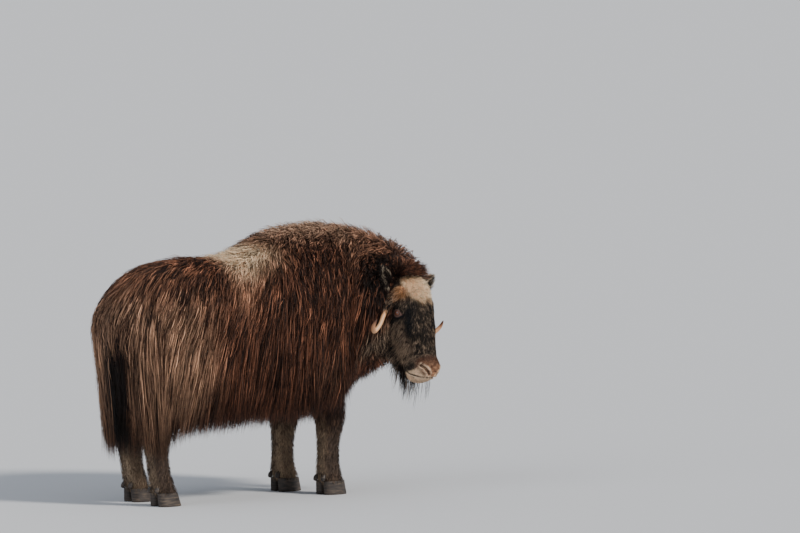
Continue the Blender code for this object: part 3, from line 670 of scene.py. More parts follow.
def over_eyeball(out, edge, away, rise):
    cover = np.sqrt(np.maximum((EYE_RADIUS + LID_THICK) ** 2 - away**2, 0))
    cover = np.where(cover > 0, EYE_SIDE + cover, EYE_SIDE - 0.03)
    sharp = 1 / LID_BLEND
    outer = np.logaddexp(out * sharp, cover * sharp) / sharp
    outer += LID_RIM * bell(edge, 0.0016, 0.0016)
    return outer - LID_FOLD * bell(edge, 0.0072, 0.0018) * np.where(rise > 0, 1.0, 0.6)


def add_lids(places):
    """The surface drawn over each eyeball as two lids, and sunk under it between them."""
    run, rise = eye_plane(places)
    away, out = np.hypot(run, rise), np.abs(places[:, 0])
    edge = lid_edge(run, rise)
    outer = over_eyeball(out, edge, away, rise)
    under = EYE_SIDE + np.sqrt(np.maximum((EYE_RADIUS - 0.004) ** 2 - away**2, 0))
    shown = fade(edge, -0.0012, 0.0007)
    surface = under * (1 - shown) + outer * shown
    moved = out + (surface - out) * fade(away, LID_REACH, 0.034)
    near = (away < LID_REACH) & (out > BESIDE_EYE)
    places[:, 0] = np.where(near, np.sign(places[:, 0]) * moved, places[:, 0])
    return places


print("the eye's opening is", round(2000 * EYE_OPEN_LONG), "mm long")

# %% The head's surface
MOUTH_GROOVE = (0.0075, 0.0026)  # depth, width
NOSTRIL_GROOVE = (0.0140, 0.0042)
PHILTRUM_GROOVE = (0.0030, 0.0022)
LIP_SWELL = (0.0030, 0.0080, 0.0040)  # height, distance from the mouth's line, width
NOSTRIL_SWELL = (0.0034, 0.0092, 0.0034)
ROW_GAP = 0.0052  # down the face, and finer at the eyes and the muzzle
EYE_ROW_GAP = 0.0019
MUZZLE_ROW_GAP = 0.0029
COLUMN_GAP = math.radians(1.75)
EYE_COLUMN_GAP = math.radians(1.15)


def groove(places, path, sizes):
    """How far places are pushed in by a groove along a path, and their distance from it."""
    depth, width = sizes
    gap = path_gap(places, path)
    return depth * bell(gap, 0, width), gap


def swell(gap, sizes):
    """How far places are pushed out by a ridge that runs beside a path."""
    height, distance, width = sizes
    return height * bell(gap, distance, width)


def sculpted(places, outward):
    height = np.zeros(len(places))
    for side, front, along, reach, rise in SWELLS:
        for turn in (1, -1):
            away = np.linalg.norm(places - np.array([side * turn, front, along]), axis=1)
            height += rise * bell(away, 0, reach)
    half_mouth, nostril, lip_groove = face_lines()
    whole_mouth = np.concatenate([half_mouth, half_mouth[-2::-1] * [-1, 1, 1]])
    sunk, gap = groove(places, whole_mouth, MOUTH_GROOVE)
    height += swell(gap, LIP_SWELL) - sunk
    for turn in (1, -1):
        sunk, gap = groove(places, nostril * [turn, 1, 1], NOSTRIL_GROOVE)
        height += swell(gap, NOSTRIL_SWELL) - sunk
    sunk, _ = groove(places, lip_groove, PHILTRUM_GROOVE)
    return places + outward * (height - sunk)[:, None]


def rows_a_metre(along):
    return 1 / ROW_GAP + bell(along, 0.0, 0.026) / EYE_ROW_GAP + fade(along, 0.218, 0.232) / MUZZLE_ROW_GAP


def columns_a_turn(angle):
    beside_eyes = bell(angle, EYE_TURN, 0.24) + bell(angle, math.tau - EYE_TURN, 0.24)
    return 1 / COLUMN_GAP + beside_eyes / EYE_COLUMN_GAP


def head_surface(along, angle):
    """(places, outward directions) of the plain head. Angle 0 is the bridge of the nose."""
    front, back, wide = head_sizes(along)
    rise = np.cos(angle)
    fur = head_fur(along, np.where(rise > 0, front, -back) * np.abs(rise))
    fur = np.minimum(fur, 0.45 * np.minimum(wide, np.minimum(front, back)))
    side = (wide - fur) * power(np.sin(angle), 2 / HEAD_SQUARE)
    before = (front - fur) * power(rise, 2 / FRONT_SQUARE)
    behind = (back - fur) * power(rise, 2 / BACK_SQUARE)
    ahead = np.where(rise > 0, before, behind)
    outward = unit(np.stack([side / wide**2, ahead / np.where(rise > 0, front, back) ** 2, 0 * side], -1))
    outward = unit(outward + np.array([0, 0, 1.0]) * (fade(along, 0.280, 0.307) * 1.5)[:, None])
    return np.stack([side, ahead, along], -1), outward


def head_loft():
    alongs = spread(HEAD[0][0], HEAD[-1][0], rows_a_metre)
    angles = spread(0, math.tau, columns_a_turn)[:-1]
    along, angle = (grid.ravel() for grid in np.meshgrid(alongs, angles, indexing="ij"))
    places = add_lids(sculpted(*head_surface(along, angle)))
    return loft("head_skin", HEAD_FRAME.out(places).reshape(len(alongs), len(angles), 3))


lofts["head"] = head_loft()
print("the head's loft has", len(lofts["head"].data.polygons), "faces")

# %% [markdown]
# ## The ears
#
# A muskox's ears are short pointed leaves behind the horns, rolled into a cup that opens forwards. A leaf is
# a loft of open arcs with a wall. The right ear stands more upright than the left one.

# %% Ears
EAR_ROOT = np.array([0.094, -0.012, -0.098])
EAR_TIP = {1: np.array([0.168, 0.022, -0.205]), -1: np.array([0.189, 0.022, -0.171])}
EAR_WIDTH = 0.027
EAR_WALL = 0.005
EAR_CURL = 108  # degrees that the leaf bends round on each side
EAR_DEEP = 0.66  # depth of the cup, as a share of its width
EAR_RINGS = 34
EAR_COLUMNS = 25


def ear_frame(side):
    """An ear's root and length, and its directions: ahead to its tip, out of its opening, and across."""
    mirror = np.array([side, 1, 1])
    root, tip = HEAD_FRAME.out(EAR_ROOT * mirror), HEAD_FRAME.out(EAR_TIP[side] * mirror)
    ahead = unit(tip - root)
    across = unit(np.cross(ahead, HEAD_FRAME.front))
    return SimpleNamespace(root=root, length=np.linalg.norm(tip - root), ahead=ahead, across=across,
                           opening=np.cross(across, ahead))


def ear_loft(side):
    ear = ear_frame(side)
    shares = np.linspace(0, 0.985, EAR_RINGS)
    width = EAR_WIDTH * np.sin(math.pi * (0.13 + 0.87 * shares)) ** 0.62
    wall = np.minimum(EAR_WALL, width * 0.45)
    turns = np.radians(np.linspace(-EAR_CURL, EAR_CURL, EAR_COLUMNS))
    rings = []
    for share, wide, thick in zip(shares, width, wall):
        outer = np.stack([-wide * EAR_DEEP * np.cos(turns), wide * np.sin(turns)], -1)
        inner = np.stack([-(wide * EAR_DEEP - thick) * np.cos(turns), (wide - thick) * np.sin(turns)], -1)
        ring = np.concatenate([outer, inner[::-1]])
        arc = ring[:, :1] * ear.opening + ring[:, 1:] * ear.across
        rings.append(ear.root + ear.ahead * ear.length * share + arc)
    return loft("ear_skin", rings)


lofts.update(tail=tail_loft(), ear_right=ear_loft(1), ear_left=ear_loft(-1))
for stance in STANCE:
    lofts["leg_" + stance] = leg_loft(stance)
print("an ear is", round(1000 * ear_frame(1).length), "mm long")

# %% [markdown]
# ## One skin
#
# Lofts that overlap would show their edges through short hair, so a Boolean union welds them into one
# closed mesh. The single lofts are remembered, because hair is planted region by region.

# %% One skin
def fused(first, others):
    link(first)
    group = bpy.data.collections.new("to_fuse")
    bpy.context.scene.collection.children.link(group)
    for other in others:
        group.objects.link(other)
    union = first.modifiers.new("union", "BOOLEAN")
    union.operation = "UNION"
    union.solver = "MANIFOLD"
    union.operand_type = "COLLECTION"
    union.collection = group
    mesh = evaluated_mesh(first)
    first.modifiers.clear()
    first.data = mesh
    for other in others:
        bpy.data.objects.remove(other)
    bpy.data.collections.remove(group)
    return first


loft_meshes = {name: obj.data.copy() for name, obj in lofts.items()}
skin = fused(lofts.pop("trunk"), list(lofts.values()))
skin.name = "skin"
skin.data.name = "skin"
print("the skin has", sum(len(face.vertices) - 2 for face in skin.data.polygons), "triangles")

# %% [markdown]
# ## Colours and markings
#
# A muskox is dark brown with a pale saddle, a woolly tan-tipped hump, rusty streaks in the long guard
# hair, grey-brown legs, a cream forehead and pale lips. Each marking is one function of place, so the skin
# and every tuft that grows on it get the same colour. Small random differences make the streaks. Painted
# light and shade are laid on in the same way: light on the hump's top and the legs' inner sides, and shade
# under the ears, between the thighs and towards the hem.

# %% Palette and patches
def paint(red, green, blue):
    """A colour picked on a screen, as the share of light it reflects."""
    share = np.array([red, green, blue]) / 255
    return np.where(share > 0.04045, ((share + 0.055) / 1.055) ** 2.4, share / 12.92)


BLACK_BROWN = paint(25, 15, 11)
DARK_BROWN = paint(50, 30, 22)
MID_BROWN = paint(92, 55, 40)
RED_BROWN = paint(156, 102, 76)
TAN_TIP = paint(206, 160, 128)
CREST_TIP = paint(206, 170, 142)
SADDLE = paint(255, 230, 194)
WOOL = paint(184, 148, 114)
FOREHEAD = paint(255, 240, 206)
FACE_DARK = paint(30, 25, 22)
FACE_FLECK = paint(186, 158, 132)
HORN_ROOT = paint(214, 150, 96)
MUZZLE_RUST = paint(104, 68, 50)
LIP = paint(255, 224, 190)
NOSE_BROWN = paint(96, 66, 50)
NOSE_TAN = paint(200, 152, 116)
CHIN = paint(255, 220, 184)
BARE_SKIN = paint(20, 21, 25)
LID = paint(104, 78, 70)
LEG_DARK = paint(70, 56, 47)
LEG_GREY = paint(124, 100, 80)
LEG_PALE = paint(196, 170, 140)
EAR_DARK = paint(34, 25, 20)
EAR_PALE = paint(218, 198, 172)


def mixed(first, second, share):
    """first where share is 0 and second where it is 1."""
    return first + (second - first) * np.asarray(share)[..., None]


def layered(colour, *layers):
    """A colour under layers, each one a colour and the share that it covers."""
    for over, share in layers:
        colour = mixed(colour, over, share)
    return colour


def patches(points, size, seed):
    """Smooth random patches about this size, mostly between -1 and 1."""
    random = np.random.default_rng(seed)
    waves = random.normal(size=(14, 3)) * 2.4 / size
    return np.sin(points @ waves.T + random.uniform(0, math.tau, 14)).sum(1) / 14**0.5


print("the rusty streaks reflect", RED_BROWN.round(2), "of red, green and blue light")


# %% Markings of the trunk
EAR_SHADOW = [0, 0, -0.03]  # from a point to where an ear would shade it


def ear_gap(points):
    gaps = []
    for ear in (ear_frame(1), ear_frame(-1)):
        reach = np.clip((points - ear.root) @ ear.ahead, 0, ear.length)
        gaps.append(np.linalg.norm(points - ear.root - reach[:, None] * ear.ahead, axis=1))
    return np.minimum(*gaps)


def saddle_share(along, height):
    """1 in the pale saddle behind the hump."""
    middle = np.interp(height, (0.94, 0.99, 1.04, 1.09), (-0.14, -0.115, -0.055, 0.045))
    return bell(along, middle, 0.062) * fade(height, 0.87, 1.05)


def cheek_share(points):
    _, front, along = HEAD_FRAME.back(points).T
    return fade(front, -0.19, -0.11) * fade(along, -0.03, 0.03) * fade(along, 0.24, 0.18)


def trunk_zones(points):
    """How much each marking and each painted shade holds, from 0 to 1, by name."""
    along, side, height = trunk_coordinates(points)
    rump = fade(along, -0.20, -0.42)
    hump = fade(along, 0.08, 0.20) * fade(along, 0.70, 0.52)
    # crest: the hump's top has tan-tipped hair, and it is also painted lighter there, as painted light from
    # above
    crest = hump * fade(height, 1.09, 1.17)
    # cleft: painted shade between the thighs, where the long hair parts: near-black tips and no pale tufts
    between_thighs = fade(along, -0.58, -0.66) * fade(np.abs(side - 0.02), 0.080, 0.030)
    return SimpleNamespace(
        rump=rump, crest=crest,
        flank=rump * fade(height, 0.60, 0.74) * fade(height, 1.03, 0.92),
        under_crest=hump * (1 - crest) * fade(height, 0.86, 0.96),
        nape=fade(along, 0.44, 0.60) * fade(height, 1.00, 1.12),
        front=fade(along, 0.42, 0.60),
        low=fade(height, 0.66, 0.48),
        high=fade(height, 0.97, 1.05),
        saddle=saddle_share(along, height),
        # painted shadow under the ears: near-black tips and fewer pale tufts
        shadow=fade(ear_gap(points + EAR_SHADOW), 0.125, 0.06),
        cheek=cheek_share(points),
        cleft=between_thighs * fade(height, 0.86, 0.76))


def trunk_pale_share(zone):
    share = 0.45 + 0.16 * zone.flank + 0.04 * zone.rump + 0.40 * zone.crest - 0.14 * zone.under_crest
    share = share - 0.10 * zone.low + 0.06 * zone.front + 0.12 * zone.nape
    return np.clip(share * (1 - zone.cleft) * (1 - 0.8 * zone.shadow) + 0.9 * zone.saddle, 0, 1)


def trunk_markings(points):
    """(colour at the root, dark tip, pale tip, share of pale tufts) for hair on the trunk."""
    zone = trunk_zones(points)
    tan = np.clip(0.85 * zone.flank + 0.2 * zone.rump + 0.55 * zone.nape, 0, 1)
    dull = np.clip(0.45 * zone.low + 0.15 * zone.front * (1 - zone.crest), 0, 1)
    brown = np.clip(0.55 * zone.crest + 0.15 * zone.flank, 0, 1)
    saddle_hair = mixed(TAN_TIP, SADDLE, zone.high)
    wool = mixed(RED_BROWN, WOOL * 1.3, zone.high)
    pale = layered(RED_BROWN, (TAN_TIP, tan), (MID_BROWN, dull), (CREST_TIP, zone.crest),
                   (FACE_FLECK, zone.cheek), (saddle_hair, np.clip(zone.saddle * 1.2, 0, 1)))
    # Painted shade: under the ears and in the cleft between the thighs the dark tips turn near black.
    dark = layered(DARK_BROWN, (MID_BROWN, brown), (BLACK_BROWN * 0.7, 0.95 * zone.shadow),
                   (FACE_DARK, zone.cheek), (BLACK_BROWN, zone.cleft), (wool, zone.saddle))
    root = layered(BLACK_BROWN, (DARK_BROWN, zone.crest), (wool * 0.9, zone.saddle))
    return root, dark, pale, trunk_pale_share(zone)


print("on the withers", round(100 * float(trunk_markings(withers)[3][0])), "in 100 tufts are pale")

# %% [markdown]
# ## Markings of the head
#
# The face is nearly black with grey-brown flecks, under a dome of cream wool. The muzzle is rusty above,
# with pale rings round the nostrils, and the lips and chin are cream. The zones are found in the head's
# own frame, so they turn with the head.

# %% Markings of the head
HORN_BASE = (0.088, 0.044, -0.088)  # the head's place where the right horn comes out
LINE_REACH = 0.09


def along_line(places, line):
    """Distance of head-frame places from a line on her right half, both halves as one."""
    return path_gap(np.abs(places) * [1, 0, 0] + places * [0, 1, 1], line, LINE_REACH)


def forehead_wool(places):
    out, front, along = np.abs(places[:, 0]), places[:, 1], places[:, 2]
    edge = along + 1.1 * np.maximum(out - 0.045, 0) + 0.007 * patches(places, 0.03, 8)
    beside = fade(out + 0.35 * np.maximum(-0.10 - along, 0), 0.092, 0.074)
    return fade(edge, -0.020, -0.064) * fade(along, -0.176, -0.162) * fade(front, 0.015, 0.045) * beside


def muzzle_colour(places, tip):
    _, front, along = places.T
    mouth, nostril = (along_line(places, line) for line in face_lines()[:2])
    below = fade(along - 0.45 * front, 0.250, 0.268)
    uneven = patches(places, 0.014, 9)
    rust = fade(along + 0.007 * uneven, 0.192, 0.222) * fade(front, 0.0, 0.045)
    tan = fade(along, 0.215, 0.270) * fade(front, 0.02, 0.06) * np.clip(0.5 + 0.4 * uneven, 0, 1)
    chin = fade(along, 0.246, 0.262) * fade(front, 0.055, 0.025)
    ring = bell(nostril, 0.0110, 0.0040) * np.clip(0.45 + 0.45 * uneven, 0, 0.9)
    lips = fade(mouth, 0.015, 0.009) * (1 - 0.7 * below)
    bare = np.clip(fade(mouth, 0.0056, 0.0036) + fade(nostril, 0.0056, 0.0036), 0, 1)
    return layered(tip, (MUZZLE_RUST, rust), (NOSE_TAN, tan), (CHIN, chin), (LIP, ring),
                   (NOSE_BROWN, fade(nostril, 0.0070, 0.0045)), (LIP, lips), (BARE_SKIN, bare))


def head_zones(places):
    """How much each marking holds, from 0 to 1, by name."""
    out, front, along = np.abs(places[:, 0]), places[:, 1], places[:, 2]
    edge = lid_gap(places)
    tear_line = bell(front - 0.060 + 0.25 * along, 0, 0.017)
    tear_line = tear_line * fade(along, -0.035, 0.0) * fade(along, 0.125, 0.085)
    nose = fade(along, 0.192, 0.222) * fade(front, 0.0, 0.045)
    muzzle = np.clip(nose + fade(along, 0.246, 0.262) * fade(front, -0.075, -0.04), 0, 1)
    return SimpleNamespace(
        muzzle=muzzle,
        bridge=muzzle * fade(along, 0.270, 0.225) * fade(front, 0.02, 0.06),
        cheek=fade(front, 0.055, 0.0) * fade(along, 0.0, 0.06) * fade(along, 0.235, 0.205),
        dome=forehead_wool(places),
        horn_root=bell(along_line(places, np.array([HORN_BASE])), 0, 0.024),
        bare=np.maximum(tear_line * fade(out, 0.045, 0.065), fade(edge, 0.022, 0.012)),
        lid=fade(edge, 0.0085, 0.0060))


def head_tip(places, zone, fur, muzzle_tones, wool, horn_root, bare):
    """The dark tips' or the pale tips' colour, from its colour in each zone."""
    tip = fur * np.ones((len(places), 1))
    muzzle = muzzle_colour(places, tip) * mixed(*muzzle_tones, zone.bridge)
    return layered(tip, (muzzle, zone.muzzle), (wool, zone.dome), (horn_root, zone.horn_root),
                   (bare, zone.bare), (LID, zone.lid))


def head_markings(points):
    places = HEAD_FRAME.back(points)
    zone = head_zones(places)
    dark = head_tip(places, zone, FACE_DARK, (0.9, 0.35), WOOL * 2.0, HORN_ROOT * 0.7, BARE_SKIN)
    pale = head_tip(places, zone, FACE_FLECK, (1, 1.25), FOREHEAD, HORN_ROOT, BARE_SKIN * 1.5)
    share = 0.32 + 0.50 * zone.cheek
    share = np.clip(share + 0.55 * np.maximum(zone.muzzle, zone.dome) - 0.35 * zone.bridge, 0, 1)
    return mixed(dark * 0.6, dark, 0.8 * zone.dome), dark, pale, share


poll = HEAD_FRAME.out([[0.0, 0.08, -0.12]])
print("on the forehead", round(100 * float(head_markings(poll)[3][0])), "in 100 tufts are pale")


# %% Markings of the legs and ears
def leg_markings(points, normals):
    rear = fade(normals[:, 1], 0.3, 0.95)
    front = fade(-normals[:, 1], 0.2, 0.9)
    high = fade(points[:, 2], 0.24, 0.42)
    # The inner sides are painted paler: painted light that lifts the far legs out of the body's shade.
    inner = fade(-normals[:, 0] * np.sign(points[:, 0] - SHIFT[0]), 0.1, 0.8)
    pale = layered(LEG_GREY, (LEG_PALE, np.clip(0.75 * rear + 0.7 * inner, 0, 1)), (MID_BROWN, 0.8 * high))
    dark = layered(LEG_DARK, (LEG_GREY, 0.6 * inner), (DARK_BROWN, high))
    share = np.clip(0.36 + 0.35 * rear + 0.33 * inner - 0.20 * front - 0.15 * high, 0, 1)
    return dark * 0.5, dark, pale, share


def ear_markings(points, normals, side):
    ear = ear_frame(side)
    place = points - ear.root
    open_way, across = place @ ear.opening, place @ ear.across
    spoke = unit(open_way[:, None] * ear.opening + across[:, None] * ear.across)
    inner = fade(-(normals * spoke).sum(-1), -0.2, 0.4)
    rim = fade(open_way, 0.000, 0.004)
    tuft = inner * bell(across, 0, 0.007)
    share = np.clip(0.05 + 0.50 * rim * (1 - inner) + 0.9 * tuft, 0, 1)
    ones = np.ones((len(points), 1))
    return EAR_DARK * 0.5 * ones, EAR_DARK * ones, EAR_PALE * ones, share


# %% [markdown]
# ## A tuft of hair
#
# Particle hair would be lost in the export, so every tuft is a thin solid spike with three sides. Python
# gives each spike a few guide points and widths. Geometry Nodes place a small cone at each root, realize
# the instances, and move each of their points to the guide point that it belongs to.

# %% Building a node tree
class Nodes:
    """A node tree that is built by linking outputs to named inputs."""

    def __init__(self, tree):
        self.tree = tree

    def node(self, kind, settings=None, **inputs):
        made = self.tree.nodes.new(kind)
        for name, value in (settings or {}).items():
            setattr(made, name, value)
        for name, value in inputs.items():
            self.put(made, name.replace("_", " "), value)
        return made

    def put(self, node, name, value):
        """Links or sets an input, found by its name or its number among those in use."""
        usable = [socket for socket in node.inputs if socket.enabled]
        if name.isdigit():
            socket = usable[int(name)]
        else:
            socket = next(socket for socket in usable if socket.name == name)
        if isinstance(value, bpy.types.NodeSocket):
            self.tree.links.new(value, socket)
        else:
            socket.default_value = value

    def out(self, node, name=None):
        usable = [socket for socket in node.outputs if socket.enabled]
        return usable[0] if name is None else next(socket for socket in usable if socket.name == name)

    def maths(self, operation, *values, kind="ShaderNodeMath"):
        made = self.node(kind, {"operation": operation})
        for number, value in enumerate(values):
            self.put(made, str(number), value)
        return self.out(made)

    def vector_maths(self, operation, *values):
        return self.maths(operation, *values, kind="ShaderNodeVectorMath")

    def scaled(self, vector, scale):
        return self.vector_maths("SCALE", vector, scale)


class TuftNodes(Nodes):
    """The steps that only a Geometry Nodes tree has."""

    def socket(self, name, kind, way="INPUT", default=None):
        """The identifier of a new input or output of the whole tree."""
        made = self.tree.interface.new_socket(name, in_out=way, socket_type=kind)
        if default is not None:
            made.default_value = default
        return made.identifier

    def attribute(self, name, kind="FLOAT"):
        return self.out(self.node("GeometryNodeInputNamedAttribute", {"data_type": kind}, Name=name))

    def position(self):
        return self.out(self.node("GeometryNodeInputPosition"))

    def store(self, geometry, name, kind, domain, value):
        settings = {"data_type": kind, "domain": domain}
        return self.out(self.node("GeometryNodeStoreNamedAttribute", settings, Geometry=geometry, Name=name,
                                  Value=value))

    def sample(self, guides, name, kind, index):
        """An attribute of the guides, read at the guide point with this index."""
        value = self.position() if name == "place" else self.attribute(name, kind)
        settings = {"data_type": kind, "domain": "POINT"}
        sampled = self.node("GeometryNodeSampleIndex", settings, Geometry=guides, Value=value, Index=index)
        return self.out(sampled)


tuft_nodes = TuftNodes(bpy.data.node_groups.new("tufts", "GeometryNodeTree"))
print("an empty tree named", tuft_nodes.tree.name, "is ready")

# %% The tuft tree
PATCH = 0.003  # width of a tuft on the bake map
SPIKE_SIDES = 3


def spikes(tree, guides, segments):
    """One small cone at each root, whose points know their tuft, height and corner."""
    cone = tree.node("GeometryNodeMeshCone", {"fill_type": "NGON"}, Vertices=SPIKE_SIDES,
                     Side_Segments=segments, Radius_Top=0.0, Radius_Bottom=1.0, Depth=1.0)
    place = tree.position()
    height = tree.out(tree.node("ShaderNodeSeparateXYZ", Vector=place), "Z")
    corner = tree.vector_maths("NORMALIZE", tree.vector_maths("MULTIPLY", place, (1, 1, 0)))
    spike = tree.store(tree.out(cone, "Mesh"), "share", "FLOAT", "POINT", height)
    spike = tree.store(spike, "corner", "FLOAT_VECTOR", "POINT", corner)
    is_root = tree.attribute("is_root", "BOOLEAN")
    roots = tree.out(tree.node("GeometryNodeMeshToPoints", Mesh=guides, Selection=is_root))
    copies = tree.out(tree.node("GeometryNodeInstanceOnPoints", Points=roots, Instance=spike))
    copies = tree.store(copies, "tuft", "INT", "INSTANCE", tree.out(tree.node("GeometryNodeInputIndex")))
    return tree.out(tree.node("GeometryNodeRealizeInstances", Geometry=copies))


def laid_on_guides(tree, tufts, guides, count, segments, patch):
    """Each point of the spikes moved to its guide point, with the guide's colour."""
    share = tree.attribute("share")
    first = tree.maths("MULTIPLY", tree.attribute("tuft", "INT"), count)
    index = tree.maths("ADD", first, tree.maths("ROUND", tree.maths("MULTIPLY", share, segments)))
    spine_point, over, beside = (tree.sample(guides, name, "FLOAT_VECTOR", index)
                                 for name in ("place", "over", "beside"))
    shade = tree.sample(guides, "shade", "FLOAT_COLOR", index)
    home = tree.sample(guides, "home", "FLOAT_VECTOR", first)
    corner = tree.node("ShaderNodeSeparateXYZ", Vector=tree.attribute("corner", "FLOAT_VECTOR"))
    offset = tree.vector_maths("ADD", tree.scaled(over, tree.out(corner, "X")),
                               tree.scaled(beside, tree.out(corner, "Y")))
    place = tree.vector_maths("ADD", spine_point, offset)
    tufts = tree.out(tree.node("GeometryNodeSetPosition", Geometry=tufts, Position=place))
    tufts = tree.store(tufts, "shade", "FLOAT_COLOR", "POINT", shade)
    across = tree.maths("MULTIPLY", tree.out(corner, "Y"), 0.5)
    spot = tree.scaled(tree.out(tree.node("ShaderNodeCombineXYZ", X=across, Y=share)), patch)
    return tree.store(tufts, "OFBake", "FLOAT2", "CORNER", tree.vector_maths("ADD", home, spot))


def tuft_inputs(tree):
    names = {
        "Guides": tree.socket("Guides", "NodeSocketGeometry"),
        "Points a tuft": tree.socket("Points a tuft", "NodeSocketInt", default=5),
        "Patch": tree.socket("Patch", "NodeSocketFloat", default=PATCH),
        "Finish": tree.socket("Finish", "NodeSocketMaterial"),
    }
    tree.socket("Tufts", "NodeSocketGeometry", "OUTPUT")
    given = tree.node("NodeGroupInput")
    guides, count, patch, finish = (tree.out(given, name) for name in names)
    segments = tree.maths("SUBTRACT", count, 1)
    tufts = laid_on_guides(tree, spikes(tree, guides, segments), guides, count, segments, patch)
    for name in ("share", "corner", "tuft"):
        tufts = tree.out(tree.node("GeometryNodeRemoveAttribute", Geometry=tufts, Name=name))
    tufts = tree.out(tree.node("GeometryNodeSetShadeSmooth", Geometry=tufts))
    tufts = tree.out(tree.node("GeometryNodeSetMaterial", Geometry=tufts, Material=finish))
    tree.put(tree.node("NodeGroupOutput"), "Tufts", tufts)
    return names


TUFT_INPUTS = tuft_inputs(tuft_nodes)
print("the tuft tree has", len(tuft_nodes.tree.nodes), "nodes")

# %% [markdown]
# ## The hair's finish
#
# Hair is dull, with fine grain along each strand. A material could draw stripes on a smooth coat, but here
# the tufts are real, so it only reads the colour that each tuft carries and breaks it up with noise. The
# noise reads Object coordinates, so it stays on the piece from every side.

# %% Materials
class Finish(Nodes):
    """A material, its shader, and the steps that the finishes share."""

    def __init__(self, name, roughness, specular, **constants):
        self.material, self.shader = principled(name, roughness, specular, **constants)
        super().__init__(self.material.node_tree)

    def place(self):
        return self.out(self.node("ShaderNodeTexCoord"), "Object")

    def carried(self, name, output="Color"):
        return self.out(self.node("ShaderNodeAttribute", {"attribute_name": name}), output)

    def stretched(self, vector, scale):
        return self.out(self.node("ShaderNodeMapping", Vector=vector, Scale=scale))

    def noise(self, vector, scale, detail):
        return self.out(self.node("ShaderNodeTexNoise", Vector=vector, Scale=scale, Detail=detail))

    def between(self, value, low, high, start=0.0, end=1.0):
        """low where value is at start, and high where it is at the end."""
        return self.out(self.node("ShaderNodeMapRange", Value=value, From_Min=start, From_Max=end, To_Min=low,
                                  To_Max=high))

    def blend(self, share, first, second):
        made = self.node("ShaderNodeMix", {"data_type": "RGBA"}, Factor=share)
        for name, value in (("A", first), ("B", second)):
            self.put(made, name, value if isinstance(value, bpy.types.NodeSocket) else (*value, 1))
        return self.out(made)

    def ramp(self, value, stops):
        """Colours that follow one another as value grows. A stop is a value and its colour."""
        made = self.node("ShaderNodeValToRGB", Fac=value)
        bands = made.color_ramp.elements
        while len(bands) < len(stops):
            bands.new(0.5)
        for band, (place, colour) in zip(bands, stops):
            band.position = place
            band.color = (*colour, 1)
        return self.out(made)

    def bump(self, height, strength, distance, **below):
        made = self.node("ShaderNodeBump", Height=height, Strength=strength, Distance=distance, **below)
        return self.out(made)

    def done(self, colour, normal=None):
        """Sends the colour and the bumps to the shader, and gives the material."""
        self.put(self.shader, "Base Color", colour)
        if normal is not None:
            self.put(self.shader, "Normal", normal)
        return self.material


def hair_finish():
    finish = Finish("guard_hair", roughness=0.58, specular=0.22)
    grain = finish.noise(finish.place(), scale=320, detail=3)
    colour = finish.scaled(finish.carried("shade"), finish.between(grain, 0.72, 1.28))
    return finish.done(colour, finish.bump(grain, strength=0.4, distance=0.0015))


COAT_HAIR = hair_finish()
print("the hair's finish has", len(COAT_HAIR.node_tree.nodes), "nodes")

# %% [markdown]
# ## Combing the hair
#
# Roots are spread over the skin by area, the same way on every run. Long hair is grown by small steps: it
# falls, leans back along the body, and is pushed out wherever it would run through the body. Hairs near
# one another are then drawn towards a shared leader, because guard hair gathers into locks.

# %% Roots
def scatter(mesh, weigh, count, random):
    """(points, normals) of roots over a mesh, more of them where weigh(points, normals) is large."""
    mesh.calc_loop_triangles()
    corners = np.empty(len(mesh.loop_triangles) * 3, np.int32)
    mesh.loop_triangles.foreach_get("vertices", corners)
    corners = corners.reshape(-1, 3)
    places, normals = vertex_array(mesh), vertex_array(mesh, "normal")
    first, second, third = places[corners].transpose(1, 0, 2)
    area = np.linalg.norm(np.cross(second - first, third - first), axis=1)
    area = area * np.maximum(weigh((first + second + third) / 3, unit(normals[corners].mean(1))), 0)
    total = np.cumsum(area)
    picks = np.searchsorted(total, (np.arange(count) + random.random(count)) / count * total[-1])
    root, turn = np.sqrt(random.random(count)), random.random(count)
    shares = np.stack([1 - root, root * (1 - turn), root * turn], -1)[:, :, None]
    points = (places[corners[picks]] * shares).sum(1)
    return points, unit((normals[corners[picks]] * shares).sum(1))


SKIN_SEARCH = BVHTree.FromObject(skin, bpy.context.evaluated_depsgraph_get())
BURIED = 0.003


def on_skin(points):
    return np.array([SKIN_SEARCH.find_nearest(point, BURIED)[0] is not None for point in points.tolist()])


# %% Guides and pieces
GUIDE_SHARES = np.array([0, 0.22, 0.60, 1])
TWIST = 0.55  # how far a tuft is turned round its own line, in radians
BAKE_SHARE, BAKE_EDGE = 0.98, 0.01  # the part of the bake map that is used, and its margin


def set_attribute(mesh, name, kind, values):
    key = {"FLOAT_COLOR": "color", "FLOAT_VECTOR": "vector"}.get(kind, "value")
    mesh.attributes.new(name, kind, "POINT").data.foreach_set(key, np.ascontiguousarray(values).ravel())


def set_shades(mesh, shades):
    cover = np.ones((*shades.shape[:-1], 1))
    set_attribute(mesh, "shade", "FLOAT_COLOR", np.concatenate([shades, cover], -1))


def tapered(shares, root=0.6, tip=0.30):
    return (root + (1 - root) * np.minimum(shares / 0.3, 1)) * (1 - (1 - tip) * shares**2.2)


def guide_mesh(name, paths, beside, over, shades, homes):
    """Guide points (tufts x points x 3) that carry all that the tuft tree reads."""
    count, points = paths.shape[:2]
    mesh = bpy.data.meshes.new(name)
    mesh.vertices.add(count * points)
    mesh.vertices.foreach_set("co", paths.astype(np.float32).ravel())
    is_root = np.zeros((count, points), bool)
    is_root[:, 0] = True
    home = np.zeros((count, points, 3))
    home[:, :, :2] = homes[:, None] * BAKE_SHARE + BAKE_EDGE
    set_attribute(mesh, "is_root", "BOOLEAN", is_root)
    set_attribute(mesh, "beside", "FLOAT_VECTOR", beside)
    set_attribute(mesh, "over", "FLOAT_VECTOR", over)
    set_shades(mesh, shades)
    set_attribute(mesh, "home", "FLOAT_VECTOR", home)
    return mesh


